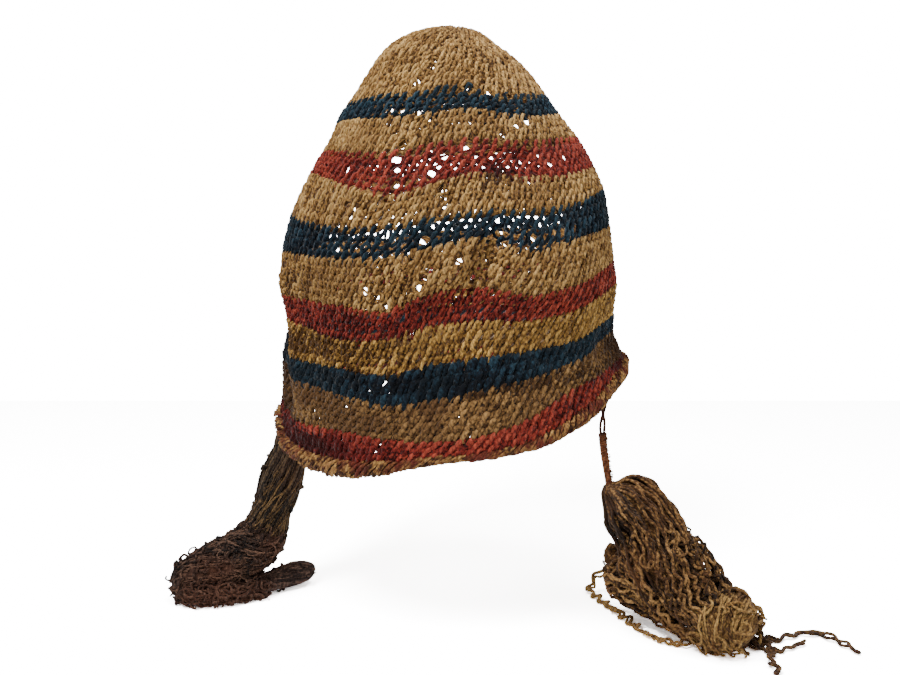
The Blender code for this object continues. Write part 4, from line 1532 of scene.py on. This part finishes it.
@dataclass
class RightTie:
    """The tie at the right: two loose strands that run down into a wrapped cord."""

    wall: CapWall
    spinner: YarnSpinner
    tie_turn: float = 150.0
    seat: float = 0.0003
    width: float = 0.0036
    drop: float = 0.044
    steps: int = 48
    loose_share: float = 0.42
    overlap: float = 0.03
    top_size: float = 1.26
    taper: float = 0.42
    yarn: float = 0.0005
    wraps: int = 34
    sway: float = 0.0012
    fringe_hairs: int = 60

    def route(self) -> np.ndarray:
        """Lays the cord's middle line.

        Returns:
            Its points, from the hem down to the tassel.
        """
        start = self.wall.under_hem(self.tie_turn, self.seat)
        table = np.array(CORD_ROUTE)
        t = np.linspace(0, 1, self.steps + 1)
        out, forward = smooth(table[:, 2], table[:, 0], t), smooth(table[:, 2], table[:, 1], t)
        return start + self.drop * np.stack((out, -forward, -t), axis=1)

    def body(self, share: np.ndarray) -> np.ndarray:
        """Radius of the wrapped cord at places along it."""
        return 0.50 * self.width * (self.top_size - self.taper * share)

    def wrapping(self, routes: YarnRoutes, line: np.ndarray, t: np.ndarray,
                 rng: np.random.Generator) -> None:
        """Adds the cord's body and the thin yarn that is wound round it.

        Args:
            routes: The piece's routes.
            line: Points of the cord's middle line.
            t: Their places along it.
            rng: Source of the wound yarn's shades.
        """
        first = self.loose_share - self.overlap
        wrapped = t >= first
        routes.add(line[wrapped], 0.4, thick=self.body(t[wrapped]) / self.yarn)
        fine = np.linspace(first, 1, self.wraps * 10)
        angle = 2 * math.pi * self.wraps * (fine - fine[0]) / (1 - fine[0])
        away = self.body(fine)
        turned = np.stack((away * np.cos(angle), away * np.sin(angle), 0 * angle), axis=1)
        coil = between(t, line, fine) + turned
        routes.add(coil, 0.55 + 0.25 * wavering(rng, fine * NEARLY, 60), thick=0.75)

    def build(self) -> None:
        """Makes the cord: its wrapped part, the two loose strands above it, and its short fringe."""
        rng = np.random.default_rng(61)
        line = self.route()
        t = np.linspace(0, 1, len(line))
        routes = YarnRoutes()
        self.wrapping(routes, line, t, rng)
        upper = t <= self.loose_share
        for side in (-1, 1):
            sway = side * self.sway * np.cos(1.35 * math.pi * t[upper] / self.loose_share)
            strand = line[upper] + np.stack((sway, 0.4 * sway, 0 * sway), axis=1)
            routes.add(strand, 0.1, thick=1.6)
        for _ in range(self.fringe_hairs):
            foot = between(t, line, rng.uniform(self.loose_share, 1))
            out = unit(np.array((rng.uniform(0.5, 1), rng.uniform(-0.6, 0.6), rng.uniform(-0.7, 0.5))))
            tall = rng.uniform(0.0022, 0.0034)
            reach = np.linspace(0.2, 1, 4)[:, None] * out * tall
            routes.add(foot + reach, rng.uniform(0.3, 1), thick=0.55)
        piece = self.spinner.spin("right_tie_cord_yarn", routes, CORD_FINISH.make(), self.yarn,
                                  "tie_cord_yarn", "right_tie_cord", sides=6, crinkle=0.0003, seed=6)


@dataclass
class RightTassel:
    """The tassel at the right: crinkled yarns, a felted golden end, loose loops and stray yarns."""

    tie: RightTie
    spinner: YarnSpinner
    width: float = 0.044
    reach: float = 0.060
    seat: float = 0.0003
    strand_yarn: float = 0.00085
    knob_yarn: float = 0.00055
    stray_yarn: float = 0.0010
    loose_step: float = 0.0011
    loose_clearance: float = 0.0008
    level: tuple[float, float, float] = (0.5, 0.87, 0.0)

    def lay(self, start: np.ndarray, rows: tuple[Station, ...]) -> Track:
        """Lays one of the bundles' tracks from a place down towards the table."""
        return Track.lay(start, rows, 1, self.reach, self.width, start[2] + TABLE_DROP, self.level)

    def build(self) -> None:
        """Makes the brown yarns, the golden end, the loop at the side and the stray yarns."""
        line = self.tie.route()
        top = line[-1] + unit(line[-1] - line[-2]) * self.seat
        main = self.lay(top, RIGHT_TASSEL)
        last = main.centres[-1]
        golden = KNOB_FINISH.make()
        self.strands(main, self.lay(top, RIGHT_UNDER), self.lay(top, RIGHT_CROSS))
        self.knob(self.lay(last, RIGHT_END), golden)
        self.side_loop(top, golden)
        self.strays(last)

    def strands(self, main: Track, under: Track, cross: Track) -> None:
        """Makes the long fall from the cord, the crinkled yarns that cross below it, and their inside.

        Args:
            main: Track of the fall.
            under: Track of the yarns under it, at its left.
            cross: Track of the yarns that cross it.
        """
        brown, routes = CRINKLED_FINISH.make(), YarnRoutes()
        lay_strands(routes, main, Strands(120, 0.00080, twist=0.5, inner=0.62, wave=0.0006,
                                          wave_length=0.012, last=0.80, last_spread=0.35,
                                          step=0.0018, tone=0.15), 41)
        lay_strands(routes, main, Strands(80, 0.00080, twist=0.9, inner=0.86, wave=0.0014,
                                          wave_length=0.0078, first=0.30, first_spread=0.25,
                                          step=0.0014, tone=0.45), 46)
        lay_strands(routes, cross, Strands(96, self.strand_yarn, twist=0.5, inner=0.76, wave=0.0013,
                                           wave_length=0.0076, first_spread=0.15, last_spread=0.12,
                                           step=0.0014, tone=0.60), 42)
        lay_strands(routes, under, Strands(44, self.strand_yarn, twist=0.8, inner=0.7, wave=0.0012,
                                           wave_length=0.0072, first=0.25, first_spread=0.2,
                                           step=0.0012, tone=0.25), 47)
        lay_curls(routes, main, 12, 0.0030, 48, first=0.40, fullness=0.8)
        lay_curls(routes, cross, 12, 0.0030, 49, fullness=0.8)
        self.spinner.spin("right_tassel_strands", routes, brown, self.strand_yarn, RIGHT_SLOT,
                          "right_tassel", crinkle=0.0016, crinkle_scale=170.0, seed=12)
        core("right_tassel_inside", [(main, 0.64), (under, 0.5), (cross, 0.5)], brown, 0.0008, 43,
             RIGHT_SLOT)

    def knob(self, end: Track, golden: bpy.types.Material) -> None:
        """Makes the golden end: felted yarns that lie round it, curls, and its felt.

        Args:
            end: Its track.
            golden: Its finish.
        """
        routes = YarnRoutes()
        lay_strands(routes, end, Strands(64, 0.00045, twist=4.4, inner=0.9, outer=1.0, wave=0.0012,
                                         wave_length=0.008, last_spread=0.5, step=0.0014), 44)
        lay_curls(routes, end, 90, 0.0032, 50, first=0.02, fullness=1.3)
        self.spinner.spin("right_end_yarn", routes, golden, self.knob_yarn, END_SLOT, "right_tassel_end",
                          crinkle=0.0014, crinkle_scale=260.0, seed=13)
        core("right_end_felt", [(end, 0.93)], golden, 0.0012, 45, END_SLOT)

    def side_loop(self, top: np.ndarray, golden: bpy.types.Material) -> None:
        """Makes the long loop of two kinked yarns at the tassel's left.

        Args:
            top: Where the tassel starts.
            golden: The loop's finish.
        """
        routes = YarnRoutes()
        places = [np.array((top[0] + self.reach * out, top[1] - self.reach * forward,
                            self.reach * up - TABLE_DROP)) for out, forward, up in SIDE_LOOP]
        for k in range(2):
            shift = np.array((0.0030 * k, -0.0030 * k, 0.0004 * k))
            line = loose_route([place + shift * math.sin(1 + i) for i, place in enumerate(places)],
                               self.loose_step, self.loose_clearance)
            line = on_table(kinked(line, 0.0014, 0.0075, 51 + k), self.stray_yarn)
            routes.add(line, 0.65, thick=(1.0, 0.8)[k])
        self.spinner.spin("right_side_loop", routes, golden, self.stray_yarn, RIGHT_SLOT, sides=6, seed=15)

    def strays(self, last: np.ndarray) -> None:
        """Makes the dark kinked yarns that come out round the golden end, most of them over the table.

        Args:
            last: Where the golden end starts.
        """
        routes = YarnRoutes()
        for n, (place, rows) in enumerate(STRAYS.items()):
            for k in range(1 if place == "outline" else 2):
                points = [np.array((last[0] + self.reach * (0.2 + out), last[1] - self.reach * forward,
                                    self.reach * up - TABLE_DROP)) + 0.0011 * k * math.cos(2 + i)
                          for i, (out, forward, up) in enumerate(rows)]
                line = loose_route(points, self.loose_step, self.loose_clearance)
                line = kinked(line, 0.0013, 0.0080, 55 + n)
                routes.add(on_table(line, self.stray_yarn), 0.35 + 0.3 * k, thick=0.90)
        self.spinner.spin("right_stray_yarns", routes, STRAY_FINISH.make(), self.stray_yarn, END_SLOT,
                          sides=6, seed=16)


# Lamps: name, place, width and power, all turned to the place that is lit
LAMPS = (
    ("key", (-0.40, -0.50, 0.75), 0.35, 13.0),
    ("fill", (0.9, -0.6, 0.35), 0.9, 3.0),
    ("top", (0.0, -0.1, 1.2), 1.0, 15.0),
)
LIT_PLACE = (0, 0, -0.15)


def camera_and_light() -> None:
    """The photograph's viewpoint, soft lamps, and a faint light inside the cap."""
    lens = bpy.data.cameras.new("viewpoint")
    lens.lens, lens.sensor_width, lens.clip_start = LENS, FRAME, 0.01
    view = bpy.data.objects.new("viewpoint", lens)
    view.location = EYE
    view.rotation_euler = (math.radians(90 - LOOK_DOWN), 0, 0)
    bpy.context.scene.collection.objects.link(view)
    bpy.context.scene.camera = view
    world = bpy.data.worlds.new("soft_room")
    world.use_nodes = True
    sky = world.node_tree.nodes["Background"]
    sky.inputs["Color"].default_value = (1.0, 1.0, 1.0, 1)
    sky.inputs["Strength"].default_value = 0.5
    bpy.context.scene.world = world
    for name, place, size, power in LAMPS:
        lamp = bpy.data.lights.new(name, "AREA")
        lamp.energy, lamp.size = power, size
        shown = bpy.data.objects.new(name, lamp)
        shown.location = place
        aim = Vector(LIT_PLACE) - Vector(place)
        shown.rotation_euler = aim.to_track_quat("-Z", "Y").to_euler()
        bpy.context.scene.collection.objects.link(shown)
    glow = bpy.data.lights.new("inner_glow", "POINT")
    glow.energy, glow.shadow_soft_size = 0.7, 0.03
    lit = bpy.data.objects.new("inner_glow", glow)
    lit.location = (0, 0, -0.14)
    lit.visible_camera = False
    bpy.context.scene.collection.objects.link(lit)


def stage_sheet(name: str, rows: list[list[tuple[float, float, float]]], kind: str, white: float,
                shows: bool) -> None:
    """A plain sheet round the object.

    Args:
        name: Its name.
        rows: Its points, row by row.
        kind: The shader's type.
        white: The shader's colour, the same in red, green and blue.
        shows: Whether it is seen. One that isn't seen gives back light instead.
    """
    count = len(rows[0])
    faces = [(k * count + n, k * count + n + 1, (k + 1) * count + n + 1, (k + 1) * count + n)
             for k in range(len(rows) - 1) for n in range(count - 1)]
    mesh = bpy.data.meshes.new(name)
    mesh.from_pydata([point for row in rows for point in row], [], faces)
    mesh.shade_smooth()
    made = bpy.data.objects.new(name, mesh)
    bpy.context.scene.collection.objects.link(made)
    paper = bpy.data.materials.new(name)
    paper.use_nodes = True
    paper.node_tree.nodes.clear()
    nodes = NodeMaker(paper.node_tree)
    matt = nodes.add(kind, {"Color": (white, white, white, 1)})
    nodes.add("ShaderNodeOutputMaterial", {"Surface": matt.outputs[0]})
    made.data.materials.append(paper)
    made.visible_camera = shows
    made.visible_diffuse = made.visible_glossy = made.visible_transmission = not shows
    made.visible_shadow = not shows


def table_and_room() -> None:
    """A pale table and a pale room: the table in two sheets, one seen and one that gives back its light."""
    side, far, radius = 2.0, 0.515, 4.0
    for name, white, below, shows in (("table_top", 10.0, 0.0, True), ("table_return", 0.85, 0.001, False)):
        rows = [[(x, y, -TABLE_DROP - below) for x in (-side, side)] for y in (-side, far)]
        stage_sheet(name, rows, "ShaderNodeBsdfDiffuse", white, shows)
    rows = [[(radius * math.sin(a) * math.cos(b), radius * math.sin(a) * math.sin(b), radius * math.cos(a))
             for b in np.linspace(0, 2 * math.pi, 49)] for a in np.linspace(0.001, math.pi - 0.001, 25)]
    stage_sheet("pale_room", rows, "ShaderNodeEmission", 17.0, True)


def main() -> None:
    """Builds the cap in order."""
    logging.basicConfig(level=logging.INFO, format="%(name)s %(message)s")
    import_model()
    camera_and_light()
    table_and_room()
    wall, spinner = CapWall(), YarnSpinner()
    Knitting(wall, spinner).build()
    RolledHem(wall, spinner).build()
    LeftTassel(wall, spinner).build()
    tie = RightTie(wall, spinner)
    tie.build()
    RightTassel(tie, spinner).build()
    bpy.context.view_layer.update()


if __name__ == "__main__":
    main()
